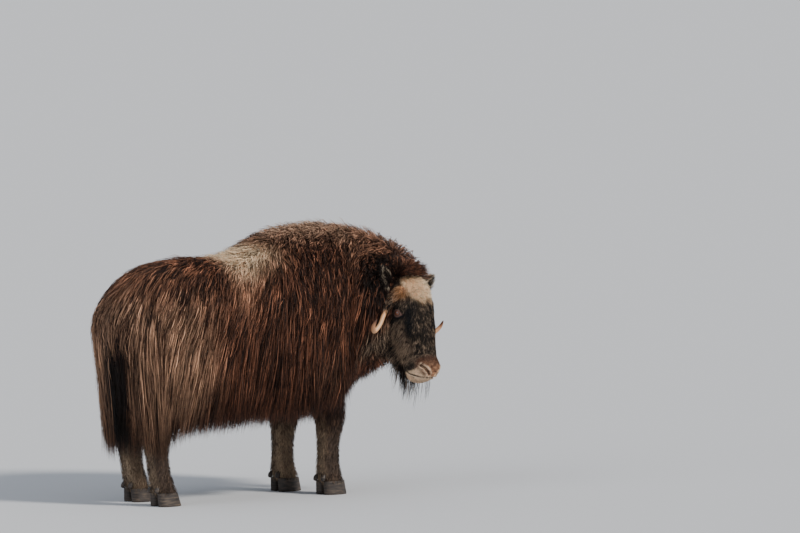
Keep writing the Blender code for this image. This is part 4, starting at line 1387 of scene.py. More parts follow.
def tuft_piece(name, paths, outward, width, shades, homes, random, flat=0.5):
    """One coat piece. Its tufts are flat: thinner outwards than they are wide."""
    ahead = unit(np.gradient(paths, axis=1))
    over = unit(outward - ahead * (outward * ahead).sum(-1, keepdims=True))
    beside = np.cross(ahead, over)
    twist = random.normal(0, TWIST, (len(paths), 1, 1))
    turned = beside * np.cos(twist) - over * np.sin(twist)
    over = over * np.cos(twist) + beside * np.sin(twist)
    mesh = guide_mesh(name, paths, turned * width[..., None], over * width[..., None] * flat, shades, homes)
    piece = link(bpy.data.objects.new(name, mesh))
    tufts = piece.modifiers.new("tufts", "NODES")
    tufts.node_group = tuft_nodes.tree
    for label, value in (("Points a tuft", paths.shape[1]), ("Patch", PATCH), ("Finish", COAT_HAIR)):
        tufts[TUFT_INPUTS[label]] = value
    made = evaluated_mesh(piece)
    piece.modifiers.clear()
    piece.data = made
    made.name = name
    triangles = sum(len(face.vertices) - 2 for face in made.polygons)
    print(f"{name}: {len(paths)} tufts, {triangles} triangles")
    return piece


# %% Locks and tones
PLAIN_TONES = (0.16, 0.12, 0.75)  # how much locks differ, how much tufts differ, how alike a lock's tufts are


def locks(roots, every, random):
    """(which leader each tuft follows, how far its root is from that leader's)."""
    leaders = random.permutation(len(roots))[: max(len(roots) // every, 1)]
    tree = KDTree(len(leaders))
    for number, leader in enumerate(leaders):
        tree.insert(roots[leader], number)
    tree.balance()
    found = [tree.find(point) for point in roots.tolist()]
    return leaders[[number for _, number, _ in found]], np.array([gap for _, _, gap in found])


def gathered(paths, leader, gap, pull, shares, reach=0.05):
    """Paths drawn towards their leaders, more towards the tips."""
    strength = (pull * fade(gap, reach, reach * 0.4))[:, None] * shares**1.3
    return paths + (paths[leader] - paths) * strength[..., None]


def toned(marks, shares, leader, random, lock, own, together):
    """Colours along each tuft. Some locks are pale, and no two tufts are alike."""
    root, dark, pale, share = marks
    count = len(root)
    pick = together * random.normal(size=count)[leader] + (1 - together**2) ** 0.5 * random.normal(size=count)
    tip = mixed(dark, pale, fade(pick + 3.2 * (share - 0.5), -0.4, 0.6))
    tone = np.exp(lock * random.normal(size=count)[leader] + own * random.normal(size=count))
    shades = root[:, None] + (tip - root)[:, None] * (shares**0.85)[None, :, None]
    shades = np.maximum(shades * tone[:, None, None], 0)
    return shades / np.maximum(shades.max(-1, keepdims=True), 1)


# %% [markdown]
# ## Long hair
#
# The hair is longest on the flanks, where it hangs to the hem, and short on the hump and the saddle. Round
# the ears it is short enough to leave them clear, and on the crown it stands up. Its colour is painted darker
# towards the hem: partly the hair's own darker ends, and partly painted shade for the shade it lies in.

# %% The lie of long hair
HEM_ROWS = np.array(HEMS)


def hair_length(points, along, height, rise, rump):
    neck = fade(along, 0.45, 0.65)
    length = np.interp(rise, (0.15, 0.45, 0.72, 0.95), (0.46, 0.36, 0.22, 0.13))
    on_rump = 1 + 0.45 * rump * fade(rise, 0.6, 0.9)
    length *= on_rump * (1 - 0.40 * saddle_share(along, height)) * (1 - 0.10 * neck)
    length *= 1 - 0.38 * fade(along, 0.06, 0.20) * fade(rise, 0.42, 0.75)
    length *= 1 + 0.40 * fade(along, -0.45, -0.62) * fade(rise, 0.8, 0.5)
    to_hem = height - np.interp(along, HEM_ROWS[:, 0], HEM_ROWS[:, 1])
    length = np.minimum(length, np.maximum(to_hem, 0.05))
    ear = np.minimum(ear_gap(points), ear_gap(points + [0, 0, -0.05]))
    return length * (1 - 0.72 * fade(ear, 0.13, 0.06))


def trunk_lie(points):
    """(length, lean, lift) of the trunk's hair."""
    along, _, height = trunk_coordinates(points)
    top, belly, _, _ = trunk_sizes(along)
    rise = (height - belly) / (top - belly)
    hump = fade(along, 0.08, 0.18) * fade(along, 0.66, 0.45) * fade(rise, 0.70, 0.92)
    rump = fade(along, -0.20, -0.40)
    length = hair_length(points, along, height, rise, rump)
    lean = (0.22 + 0.5 * fade(rise, 0.55, 0.95) * (1 - 0.3 * rump)) * (1 - 0.85 * fade(along, -0.45, -0.64))
    lean *= 1 - 0.9 * bell(along, 0.13, 0.09)
    crown = fade(along, 0.56, 0.66) * fade(rise, 0.62, 0.90)
    lift = 0.30 + 0.65 * hump * (1 - 0.6 * bell(along, 0.13, 0.08)) + 1.1 * crown
    return length, lean, lift * np.minimum(1, 0.15 / length)


print("hair on the withers is", round(1000 * float(trunk_lie(withers)[0][0])), "mm long")

# %% Growing long hair
MARCH_STEPS = 18
COMB_INSET = 0.3  # the depth in the coat at which the hair's outward direction is read


def falling(points, lean, lift, sway, share):
    """Directions of growth: down, back along the body, clear of its wall, and lifted near the root."""
    along, side, _ = trunk_coordinates(points)
    _, heading, beside = spine(along, SHIFT)
    outward = unit(coat_slope(points, COMB_INSET)[1])
    wall = unit(outward * [1, 1, 0] + np.maximum(outward[:, 2:], 0) * [0, 0, 1])
    parting = np.tanh(side / 0.05) * 0.30 * fade(points[:, 2], 0.78, 1.0)
    fall = np.array([0, 0, -1.0]) - heading * lean[:, None] + beside * parting[:, None]
    fall = unit(fall - wall * (fall * wall).sum(-1, keepdims=True))
    tuck = heading * (0.15 * fade(along, -0.54, -0.66) * fade(points[:, 2], 0.84, 0.70))[:, None]
    return unit(fall + outward * (lift * (1 - share) ** 2)[:, None] + sway * share + tuck)


def grown(roots, length, lean, lift, own_inset, sway):
    """Paths of long hair over the trunk, at the guide shares."""
    points = roots
    steps = [points]
    for step in range(MARCH_STEPS):
        share = (step + 1) / MARCH_STEPS
        points = points + falling(points, lean, lift, sway, share) * (length / MARCH_STEPS)[:, None]
        points = pushed_out(points, SKIN_INSET + (own_inset - SKIN_INSET) * share**0.8)
        steps.append(points)
    steps = np.stack(steps, 1)
    wanted = GUIDE_SHARES * MARCH_STEPS
    low = np.minimum(wanted.astype(int), MARCH_STEPS - 1)
    return steps[:, low] + (steps[:, low + 1] - steps[:, low]) * (wanted - low)[None, :, None]


# %% The trunk's coat
TRUNK_PIECES = (  # name, start, end, tufts a side, how much a lock keeps together, how much each tuft curls
    ("rump", RUMP_END - 0.05, -0.28, 8300, 0.85, 0.005),
    ("barrel", -0.28, 0.08, 7300, 0.65, 0.007),
    ("shoulders", 0.08, 0.46, 9400, 0.40, 0.009),
    ("neck", 0.46, CROWN_END + 0.05, 7900, 0.40, 0.009),
)
LONG_TONES = (0.44, 0.24)  # how much locks differ, how much tufts differ
# painted shade, over hair whose ends are darker too
HEM_SHADE = 0.42  # how much darker the hair is at the hem
LONG_LOCK = 7  # tufts for each leader
NAMED_SIDES = {1: "right", -1: "left"}


def trunk_home(roots, start, end):
    along, side, height = trunk_coordinates(roots)
    top, belly, _, _ = trunk_sizes(along)
    angle = np.arctan2(np.abs(side), height - (top + belly) / 2) / math.pi
    return np.stack([(along - start) / (end - start), angle], -1)


def trunk_roots(start, end, count, turn, random):
    """Roots on one side of one length of the trunk, fewer of them under the belly."""
    def weigh(points, normals):
        along, side, _ = trunk_coordinates(points)
        under = fade(normals[:, 2], -0.75, -0.95)
        return (along >= start) * (along < end) * (side * turn >= 0) * (1 - 0.7 * under)

    roots, _ = scatter(loft_meshes["trunk"], weigh, int(count * 1.03), random)
    return roots[on_skin(roots)]


def combed(roots, length, lean, lift, random):
    count = len(roots)
    sway = patches(roots, 0.09, 5)[:, None] * [0.14, 0.14, 0] + random.normal(0, 0.08, (count, 3))
    sway *= np.minimum(1, 0.16 / length)[:, None]
    lift = lift * random.uniform(0.6, 1.4, count)
    return grown(roots, length, lean, lift, random.uniform(0, 0.3, count), sway)


def curled(paths, curl, random):
    bow, tip = random.normal(0, curl, (2, len(paths), 1, 3))
    return paths + bow * np.sin(math.pi * GUIDE_SHARES)[:, None] + tip * GUIDE_SHARES[:, None] ** 2


def trunk_piece(name, start, end, count, together, curl, turn, seed):
    random = np.random.default_rng(seed)
    roots = trunk_roots(start, end, count, turn, random)
    count = len(roots)
    length, lean, lift = trunk_lie(roots)
    length = length * np.maximum(random.uniform(0.72, 1.04, count), random.uniform(0.60, 1.04, count))
    paths = combed(roots, length, lean, lift, random)
    leader, gap = locks(roots, LONG_LOCK, random)
    paths = gathered(paths, leader, gap, random.uniform(0.2, 1.0, count) * together, GUIDE_SHARES)
    paths = curled(paths, curl, random)
    outward = unit(coat_slope(paths.reshape(-1, 3), COMB_INSET)[1]).reshape(paths.shape)
    width = np.interp(length, (0.08, 0.35), (0.0021, 0.0018)) * random.uniform(0.7, 1.3, count)
    shades = toned(trunk_markings(roots), GUIDE_SHARES, leader, random, *LONG_TONES, together)
    # painted shade towards the hem, over hair that is darker there too
    shades *= 1 - HEM_SHADE * fade(paths[..., 2:], 0.60, 0.28)
    width = width[:, None] * tapered(GUIDE_SHARES)
    home = trunk_home(roots, start, end)
    return tuft_piece(f"coat_{name}_{NAMED_SIDES[turn]}", paths, outward, width, shades, home, random)


coat = [trunk_piece(*row, turn, seed * 2 + (turn > 0))
        for seed, row in enumerate(TRUNK_PIECES) for turn in (1, -1)]
coat_slots = {piece: "coat" for piece in coat}
print("the trunk's coat has", len(coat), "pieces")

# %% [markdown]
# ## Short hair
#
# On the face, ears and legs the hair is short, so it needs no growing by steps: each tuft leaves the skin
# at a slant and bends back along it, in the direction that the region's hair lies. The eyelids, nostrils
# and mouth stay bare, and the forehead has a dome of pale wool.

# %% Short hair helper
SHORT_SHARES = np.array([0, 0.45, 1])
MIDDLE_SHARES = np.array([0, 0.3, 0.65, 1])
FACE_TONES = (0.25, 0.22, 0.6)
LOOSE = 0.15  # how far each tuft strays from its region's direction


def slanted(roots, normals, flow, length, lift, shares, random):
    """Paths that leave the skin at a slant and bend back. lift is a tip's height as a share of length."""
    flow = flow + random.normal(0, LOOSE, flow.shape)
    flow = unit(flow - normals * (flow * normals).sum(-1, keepdims=True))
    raised = lift[:, None] * (1.9 * shares - 0.9 * shares**2)
    along = np.sqrt(np.maximum(1 - lift**2, 0.1))[:, None] * shares
    shape = flow[:, None] * along[..., None] + normals[:, None] * raised[..., None]
    return roots[:, None] + shape * length[:, None, None]


def short_piece(name, source, weigh, count, lie, markings, home, seed, shares=SHORT_SHARES, slot="coat",
                every=9, pull=0.35, kept_where=on_skin, tones=PLAIN_TONES):
    """A coat piece of short hair. lie(points, normals) gives length, direction, lift and width."""
    random = np.random.default_rng(seed)
    roots, normals = scatter(loft_meshes[source], weigh, int(count * 1.05), random)
    kept = kept_where(roots)
    roots, normals = roots[kept], normals[kept]
    count = len(roots)
    length, flow, lift, width = lie(roots, normals)
    length = length * random.uniform(0.70, 1.10, count)
    paths = slanted(roots, normals, flow, length, lift * random.uniform(0.6, 1.4, count), shares, random)
    leader, gap = locks(roots, every, random)
    paths = gathered(paths, leader, gap, random.uniform(0.3, 1.0, count) * pull, shares, reach=0.014)
    outward = np.repeat(normals[:, None], len(shares), 1)
    width = (width * random.uniform(0.75, 1.3, count))[:, None] * tapered(shares)
    shades = toned(markings(roots, normals), shares, leader, random, *tones)
    made = tuft_piece(name, paths, outward, width, shades, home(roots), random)
    coat_slots[made] = slot
    coat.append(made)


# %% Hair of the face
FACE_TUFTS = 22500


def opening_gap(points):
    return along_line(HEAD_FRAME.back(points), np.concatenate(face_lines()[:2]))


def head_weight(points, _):
    places = HEAD_FRAME.back(points)
    _, front, along = places.T
    bare = fade(lid_gap(places), 0.0060, 0.0100) * fade(opening_gap(points), 0.0042, 0.0085)
    hidden = fade(front, -0.06, -0.11) * fade(along, 0.10, 0.04)
    return bare * (1 + 1.0 * fade(along, 0.18, 0.24)) * (1 - 0.7 * hidden)


def head_lie(points, _):
    places = HEAD_FRAME.back(points)
    side, front, along = places.T
    wool = forehead_wool(places)
    muzzle = fade(along, 0.16, 0.23)
    jaw = fade(front, 0.04, -0.05) * fade(along, 0.23, 0.16) * fade(along, -0.04, 0.03)
    length = 0.021 - 0.0145 * muzzle + 0.022 * jaw + 0.007 * wool
    length *= 0.55 + 0.45 * fade(lid_gap(places), 0.006, 0.022)
    flow = np.zeros((len(points), 3))
    flow[:, 0] = np.sign(side) * 0.25 * fade(np.abs(side), 0.01, 0.04) * (1 - muzzle)
    flow[:, 1] = (-0.55 - 0.5 * jaw) * fade(np.abs(side), 0.03, 0.07)
    flow[:, 2] = 1 - 1.6 * muzzle * fade(front, 0.0, 0.06)
    width = 0.00095 - 0.0002 * muzzle + 0.0003 * wool + 0.0003 * jaw
    return length, HEAD_FRAME.turn(flow), 0.26 + 0.45 * wool + 0.10 * jaw, width


def head_home(points):
    side, front, along = HEAD_FRAME.back(points).T
    return np.stack([np.arctan2(side, front) / math.tau + 0.5, (along + 0.19) / 0.51], -1)


short_piece("coat_face", "head", head_weight, FACE_TUFTS, head_lie, lambda points, _: head_markings(points),
            head_home, 30, slot="face", tones=FACE_TONES)

# %% [markdown]
# ## Beard, fringe and ruff
#
# Thin dark strands hang straight down from the throat and the chin, so they are placed by gravity. A
# fringe falls over the dome of wool from the poll, and a ruff of longer hair runs from behind the ears
# down the jaw. Both lie over the short hair.

# %% Beard
BEARD_STRANDS = 480
BEARD_WIDTH = 0.0009


def beard_markings(points):
    ones = np.ones((len(points), 1))
    return BLACK_BROWN * ones, BLACK_BROWN * ones, FACE_FLECK * ones, np.full(len(points), 0.15)


def beard_weight(points, _):
    _, front, along = HEAD_FRAME.back(points).T
    throat = fade(front, -0.035, -0.065) * fade(along, 0.10, 0.15) * fade(along, 0.285, 0.265)
    chin = fade(front, 0.015, -0.005) * fade(along, 0.262, 0.280)
    return np.maximum(throat, 0.16 * chin) * fade(opening_gap(points), 0.006, 0.010)


def hanging(roots, random):
    """(paths, way they fall) of strands, shorter on the chin."""
    count = len(roots)
    chin = fade(HEAD_FRAME.back(roots)[:, 2], 0.22, 0.27)
    length = random.uniform(0.055, 0.160, count) * (1 - 0.25 * chin)
    swing = random.normal(0, 0.09, (count, 1, 3)) + HEAD_FRAME.front * -0.10
    fall = MIDDLE_SHARES[None, :, None] * ([0, 0, -1.0] + swing * MIDDLE_SHARES[None, :, None])
    return roots[:, None] + fall * length[:, None, None], fall


def beard_piece(seed):
    random = np.random.default_rng(seed)
    roots, _ = scatter(loft_meshes["head"], beard_weight, BEARD_STRANDS, random)
    roots = roots[on_skin(roots)]
    count = len(roots)
    paths, fall = hanging(roots, random)
    leader, gap = locks(roots, 5, random)
    paths = gathered(paths, leader, gap, random.uniform(0.2, 0.8, count), MIDDLE_SHARES, reach=0.03)
    outward = np.repeat(unit(np.cross(fall[:, -1], HEAD_FRAME.front))[:, None], len(MIDDLE_SHARES), 1)
    width = (random.uniform(0.7, 1.2, count) * BEARD_WIDTH)[:, None] * tapered(MIDDLE_SHARES)
    shades = toned(beard_markings(roots), MIDDLE_SHARES, leader, random, *PLAIN_TONES)
    made = tuft_piece("coat_beard", paths, outward, width, shades, head_home(roots), random)
    coat_slots[made] = "coat"
    coat.append(made)


beard_piece(36)

# %% Fringe and ruff
FRINGE_TUFTS = 11000
FRINGE_WIDTH = 0.0013


def poll_share(front, along):
    return fade(along, -0.148, -0.164) * fade(front, -0.10, -0.02)


def fringe_weight(points, _):
    _, front, along = HEAD_FRAME.back(points).T
    ruff = fade(front, 0.010, -0.040) * fade(along, 0.01, -0.03)
    jaw = fade(front, -0.035, -0.075) * fade(along, -0.02, 0.03) * fade(along, 0.22, 0.18)
    return np.maximum.reduce([2.4 * poll_share(front, along), ruff, 1.1 * jaw])


def fringe_lie(points, _):
    side, front, along = HEAD_FRAME.back(points).T
    poll = poll_share(front, along)
    jaw = fade(along, 0.02, 0.08)
    flow = np.zeros((len(points), 3))
    flow[:, 0] = np.sign(side) * 0.35 * (1 - poll)
    flow[:, 1] = 0.6 * poll - (0.6 + 0.5 * jaw) * (1 - poll)
    flow[:, 2] = 0.2 * poll + (1 - 0.3 * jaw) * (1 - poll)
    length = 0.056 + 0.022 * poll + 0.012 * jaw
    return length, HEAD_FRAME.turn(flow), 0.36 + 0.45 * poll, np.full(len(points), FRINGE_WIDTH)


def fringe_markings(points, _):
    cheek = fade(HEAD_FRAME.back(points)[:, 2], -0.01, 0.06)
    root = BLACK_BROWN * np.ones((len(points), 1))
    return root, mixed(DARK_BROWN, FACE_DARK, cheek), mixed(RED_BROWN, FACE_FLECK, cheek), 0.24 + 0.18 * cheek


short_piece("coat_fringe", "head", fringe_weight, FRINGE_TUFTS, fringe_lie, fringe_markings, head_home, 31,
            shares=MIDDLE_SHARES, every=12, pull=0.6)

# %% [markdown]
# ## Hair of the legs and ears
#
# The legs carry short dense hair that points down and a little back, longer at the top and just above the
# hoof. The ears are furred inside and out, with the longest hair in the cup.

# %% Hair of the legs
LEG_TUFTS = 3700


def leg_weight(points, _):
    return fade(points[:, 2], HOOF_HEIGHT + 0.004, HOOF_HEIGHT + 0.010) * fade(points[:, 2], 0.62, 0.50)


def leg_lie(points, _):
    feather = fade(points[:, 2], 0.11, 0.08)
    high = fade(points[:, 2], 0.22, 0.40)
    length = 0.022 + 0.006 * feather + 0.026 * high
    flow = np.array([0, 0.25, -1.0]) * np.ones((len(points), 1))
    return length, flow, 0.34 + 0.08 * feather, 0.0012 + 0.0005 * high


def leg_home(stance):
    middle = leg_axis(stance, np.array([0.3]))[0][0]

    def home(points):
        turn = np.arctan2(points[:, 0] - middle[0], -(points[:, 1] - middle[1])) / math.tau + 0.5
        return np.stack([turn, points[:, 2] / 0.7], -1)
    return home


for number, stance in enumerate(STANCE):
    short_piece("coat_leg_" + stance, "leg_" + stance, leg_weight, LEG_TUFTS, leg_lie, leg_markings,
                leg_home(stance), 40 + number, slot="stocking")

# %% Hair of the ears
EAR_TUFTS = 2600
EAR_HAIR_WIDTH = 0.0009


def ear_lie(ear):
    def lie(points, _):
        inner = fade((points - ear.root) @ ear.opening, -0.004, 0.004)
        flow = ear.ahead * np.ones((len(points), 1))
        return 0.017 + 0.008 * inner, flow, 0.34 + 0.15 * inner, np.full(len(points), EAR_HAIR_WIDTH)
    return lie


def ear_home(ear):
    def home(points):
        place = points - ear.root
        turn = np.arctan2(place @ ear.across, -(place @ ear.opening)) / math.tau + 0.5
        return np.stack([turn, place @ ear.ahead / ear.length], -1)
    return home


for side, side_name in NAMED_SIDES.items():
    ear = ear_frame(side)
    marks = partial(ear_markings, side=side)
    short_piece("coat_ear_" + side_name, "ear_" + side_name, lambda points, _: np.ones(len(points)),
                EAR_TUFTS, ear_lie(ear), marks, ear_home(ear), 50 + side)
print("the coat has", len(coat), "pieces so far")

# %% [markdown]
# ## The skin's finish
#
# The skin shows between tufts and on the lids, nose and lips, so each of its points takes the markings of
# the loft that it came from. Fine creases come from two bumps, one like the grain of leather and one like
# combed hair.

# %% Skin
SKIN_SHOWS = {"trunk": 0.15}  # how much of the hair's tip colour the skin has, less under the deep coat
THIN_HAIR_SHOWS = 0.6


def loft_markings(name, points, normals):
    if name == "head":
        return head_markings(points)
    if name.startswith("leg"):
        return leg_markings(points, normals)
    if name.startswith("ear"):
        return ear_markings(points, normals, 1 if name.endswith("right") else -1)
    return trunk_markings(points)


def nearest_loft(points):
    places = [vertex_array(mesh) for mesh in loft_meshes.values()]
    tree = KDTree(sum(len(part) for part in places))
    for number, part in enumerate(places):
        for point in part.tolist():
            tree.insert(point, number)
    tree.balance()
    return np.array([tree.find(point)[1] for point in points.tolist()])


def skin_shades(points, normals):
    owner = nearest_loft(points)
    shades = np.empty((len(points), 3))
    for number, name in enumerate(loft_meshes):
        own = owner == number
        root, dark, pale, share = loft_markings(name, points[own], normals[own])
        shown = SKIN_SHOWS.get(name, THIN_HAIR_SHOWS)
        shades[own] = mixed(root, mixed(dark, pale, share**2), np.full(own.sum(), shown))
    return np.clip(shades, 0, 1)


def skin_finish():
    finish = Finish("skin", roughness=0.72, specular=0.3)
    place = finish.place()
    leather = finish.noise(place, scale=420, detail=4)
    hair = finish.noise(finish.stretched(place, (1, 1, 0.22)), scale=130, detail=3)
    colour = finish.scaled(finish.carried("shade"), finish.between(hair, 0.7, 1.3))
    fine = finish.bump(leather, strength=0.35, distance=0.0008)
    return finish.done(colour, finish.bump(hair, strength=0.4, distance=0.002, Normal=fine))


set_shades(skin.data, skin_shades(vertex_array(skin.data), vertex_array(skin.data, "normal")))
skin.data.materials.clear()
skin.data.materials.append(skin_finish())
print("the skin has", len(skin.data.materials), "finish and", len(skin.data.vertices), "points")

# %% [markdown]
# ## Eyes
#
# A muskox's eye is dark brown, wet, and has a flat pupil that lies level with the horizon. The eyeball is
# a sphere with a raised cornea. Its points keep their direction from the middle of the eye, and the shader
# draws the iris, its fibres and the pupil from that, so no picture is needed.

# %% Eyeballs
CORNEA_REACH = 0.62  # of the radius, from the line of sight
CORNEA_RISE = 0.0011
GAZE_AHEAD = math.radians(16)  # of the line of sight in front of straight out
BALL_GAP = 0.0004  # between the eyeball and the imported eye's surface
PUPIL_HALF = (0.30, 0.13)  # half the pupil's length and height, as shares of the radius
IRIS_EDGE = 0.50
BALL_EDGE = 0.72


def from_edge(finish, value, edge, steepness):
    past = finish.maths("MULTIPLY", finish.maths("SUBTRACT", value, edge), steepness)
    return finish.maths("MINIMUM", finish.maths("MAXIMUM", past, 0.0), 1.0)


def in_pupil(finish, level, upright):
    """1 in a level oval with squarer ends, and 0 outside it."""
    run = finish.maths("ABSOLUTE", finish.maths("DIVIDE", level, PUPIL_HALF[0]))
    rise = finish.maths("ABSOLUTE", finish.maths("DIVIDE", upright, PUPIL_HALF[1]))
    oval = finish.maths("ADD", finish.maths("POWER", run, 2.4), finish.maths("POWER", rise, 2.0))
    inside = finish.maths("MULTIPLY", finish.maths("SUBTRACT", 1.15, oval), 4.0)
    return finish.maths("SMOOTH_MIN", finish.maths("MAXIMUM", inside, 0.0), 1.0, 0.1)


def eye_finish():
    finish = Finish("wet_eye", roughness=0.28, specular=0.5, Coat_Weight=1.0, Coat_Roughness=0.02)
    gaze = finish.node("ShaderNodeSeparateXYZ", Vector=finish.carried("gaze", "Vector"))
    level, upright = finish.out(gaze, "Y"), finish.out(gaze, "Z")
    squares = (finish.maths("MULTIPLY", way, way) for way in (level, upright))
    out = finish.maths("SQRT", finish.maths("ADD", *squares))
    flat = finish.out(finish.node("ShaderNodeCombineXYZ", X=level, Y=upright))
    fibres = finish.noise(finish.vector_maths("NORMALIZE", flat), scale=9, detail=4)
    iris = finish.blend(fibres, paint(46, 22, 14), paint(142, 80, 48))
    ball = finish.blend(from_edge(finish, out, IRIS_EDGE, 12.0), iris, paint(46, 30, 26))
    ball = finish.blend(from_edge(finish, out, BALL_EDGE, 6.0), ball, paint(92, 62, 54))
    return finish.done(finish.blend(in_pupil(finish, level, upright), ball, paint(8, 6, 8)))


def eyeball(name, side, finish):
    bpy.ops.mesh.primitive_uv_sphere_add(segments=64, ring_count=48, radius=1)
    ball = bpy.context.active_object
    ball.name = ball.data.name = name
    local = vertex_array(ball.data)[:, [2, 0, 1]]
    in_front = local[:, :1] > 0
    sight = HEAD_FRAME.turn([side * math.cos(GAZE_AHEAD), math.sin(GAZE_AHEAD), 0])
    level = unit(np.cross([0, 0, 1.0], sight))
    out = np.hypot(local[:, 1], local[:, 2])
    rise = CORNEA_RISE * fade(out, CORNEA_REACH, 0.25) * in_front[:, 0]
    places = local * (EYE_RADIUS - BALL_GAP) + local * rise[:, None]
    centre = HEAD_FRAME.out([side * EYE_SIDE, EYE_FRONT, 0])
    axes = np.stack([sight, level, np.cross(sight, level)])
    ball.data.vertices.foreach_set("co", (centre + places @ axes).astype(np.float32).ravel())
    set_attribute(ball.data, "gaze", "FLOAT_VECTOR", np.where(in_front, local, local * [0, 9, 9]))
    ball.data.shade_smooth()
    ball.data.materials.append(finish)
    ball.data.update()
    return ball


wet = eye_finish()
eyes = {"eye_" + name: eyeball("eyeball_" + name, side, wet) for side, name in NAMED_SIDES.items()}
print("eyeballs are", round(2000 * EYE_RADIUS), "mm across")

# %% [markdown]
# ## Horns
#
# A cow's horns leave the sides of the forehead, run down close behind the eyes, and turn forward and up to
# a point. Each is one tapered tube, oval at its root, whose radius swells a little at every growth ring.
# The finish reads a place on the tube that each point carries, so its fibres follow the bend.

# %% Horns
HORN = (  # side, front, along, radius
    (0.068, 0.034, -0.094, 0.029),
    (0.098, 0.024, -0.084, 0.025),
    (0.122, -0.006, -0.058, 0.0195),
    (0.137, -0.036, -0.013, 0.0112),
    (0.174, -0.043, 0.038, 0.0090),
    (0.210, -0.054, 0.067, 0.0098),
    (0.238, -0.032, 0.050, 0.0086),
    (0.240, -0.006, 0.026, 0.0030),
)
HORN_RINGS = 190
HORN_SIDES = 40
GROWTH_RINGS = 46
TIP_START = 0.96  # share of the way to the tip from which the point is rounded
OLD_SWELL, ROUGH_SWELL, FIBRE_SWELL = 0.010, 0.006, 0.008  # shares of the radius
OVAL = 0.14


def horn_path(side, count):
    rows = smooth_path(HORN, count) * [side, 1, 1, 1]
    return HEAD_FRAME.out(rows[:, :3]), rows[:, 3]


def horn_girth(shares, angles):
    """(growth rings and fibres, oval root), each as a share of the horn's radius."""
    rough = np.random.default_rng(61).normal(size=(HORN_RINGS, 1))
    ring = np.sin(shares * GROWTH_RINGS * math.tau + 1.5 * np.sin(shares * 19))
    old = fade(shares, 0.75, 0.25)
    swell = 1 + old * (OLD_SWELL * ring + ROUGH_SWELL * rough) + FIBRE_SWELL * np.sin(3 * angles + 9 * shares)
    return swell, 1 - OVAL * fade(shares, 0.5, 0.0) * np.abs(np.sin(angles)) ** 2


def horn_mesh(name, side, finish):
    path, radii = horn_path(side, HORN_RINGS)
    shares = np.linspace(0, 1, HORN_RINGS)
    point = radii * np.sqrt(np.maximum(1 - ((shares - TIP_START) / 0.042) ** 2, 0.02))
    radii = np.where(shares > TIP_START, point, radii)
    angles = np.linspace(0, math.tau, HORN_SIDES, endpoint=False)
    swell, oval = horn_girth(shares[:, None], angles)
    rings = tube_rings(path, np.ones(HORN_RINGS), HORN_SIDES, HEAD_FRAME.front + HEAD_FRAME.right * 0.1)
    rings = path[:, None] + (rings - path[:, None]) * (radii[:, None] * swell * oval)[..., None]
    horn = link(loft(name, rings))
    round_part = [way(angles) * np.ones((HORN_RINGS, 1)) for way in (np.cos, np.sin)]
    places = np.stack([*round_part, shares[:, None] * np.ones(HORN_SIDES)], -1)
    set_attribute(horn.data, "place", "FLOAT_VECTOR", places)
    horn.data.materials.append(finish)
    return horn


def horn_finish():
    finish = Finish("horn_keratin", roughness=0.42, specular=0.45, Coat_Weight=0.15, Coat_Roughness=0.35)
    place = finish.carried("place", "Vector")
    to_tip = finish.out(finish.node("ShaderNodeSeparateXYZ", Vector=place), "Z")
    base = finish.ramp(to_tip, (
        (0.0, paint(196, 126, 74)), (0.35, paint(212, 148, 96)), (0.62, paint(228, 180, 134)),
        (0.86, paint(196, 140, 100)), (0.97, paint(96, 62, 46))))
    fibres = finish.noise(finish.stretched(place, (6, 6, 3.5)), scale=3, detail=6)
    colour = finish.scaled(base, finish.between(fibres, 0.66, 1.16, start=0.3, end=0.7))
    return finish.done(colour, finish.bump(fibres, strength=0.5, distance=0.0008))


keratin = horn_finish()
horns = {"horn_" + name: horn_mesh("horn_sheath_" + name, side, keratin)
         for side, name in NAMED_SIDES.items()}
horn_steps = np.diff(horn_path(1, 99)[0], axis=0)
print("each horn runs", round(float(np.linalg.norm(horn_steps, axis=1).sum()), 3), "m")

# %% [markdown]
# ## Hair over the horns' roots
#
# A cow has no bare boss: hair that flows off the forehead covers the first two fifths of each horn, with
# an orange tint at the root. It is laid back near the eye, so the eye stays clear.

# %% Hair over the horns' roots
COVER_TUFTS = 1200
COVER_WIDTH = 0.0013
PATH_PLACES = 120


def horn_places(points, side):
    """(share of the way to the tip, direction towards it) at points of a horn."""
    path, _ = horn_path(side, PATH_PLACES)
    nearest = np.linalg.norm(points[:, None] - path[None], axis=2).argmin(1)
    return nearest / (PATH_PLACES - 1), unit(np.gradient(path, axis=0))[nearest]


def above_skin(points):
    shown = []
    for point in points.tolist():
        place, normal, _, _ = SKIN_SEARCH.find_nearest(point)
        shown.append((Vector(point) - place).dot(normal) > -0.001)
    return np.array(shown)


def cover_markings(points, _):
    tint = bell(along_line(HEAD_FRAME.back(points), np.array([HORN_BASE])), 0, 0.035)
    root = FACE_DARK * 0.6 * np.ones((len(points), 1))
    dark = mixed(FACE_DARK, HORN_ROOT * 0.5, tint)
    return root, dark, mixed(FACE_FLECK, HORN_ROOT, tint), 0.32 + 0.4 * tint


def horn_cover(node, side, seed):
    def weigh(points, _):
        share, _ = horn_places(points, side)
        return fade(share, 0.0, 0.10) * fade(share, 0.43, 0.33)

    def lie(points, _):
        share, ahead = horn_places(points, side)
        near_eye = fade(HEAD_FRAME.back(points)[:, 1], -0.035, 0.0)
        length = (0.040 - 0.012 * fade(share, 0.28, 0.40)) * (1 - 0.45 * near_eye)
        flow = ahead + np.array([0, 0, -0.35]) - HEAD_FRAME.front * 0.5 * near_eye[:, None]
        return length, flow, 0.20 - 0.10 * near_eye, np.full(len(points), COVER_WIDTH)

    def home(points):
        return np.stack([(points @ HEAD_FRAME.axes[1]) % 1.0, horn_places(points, side)[0]], -1)

    short_piece("coat_" + node, node, weigh, COVER_TUFTS, lie, cover_markings, home, seed,
                shares=MIDDLE_SHARES, kept_where=above_skin)


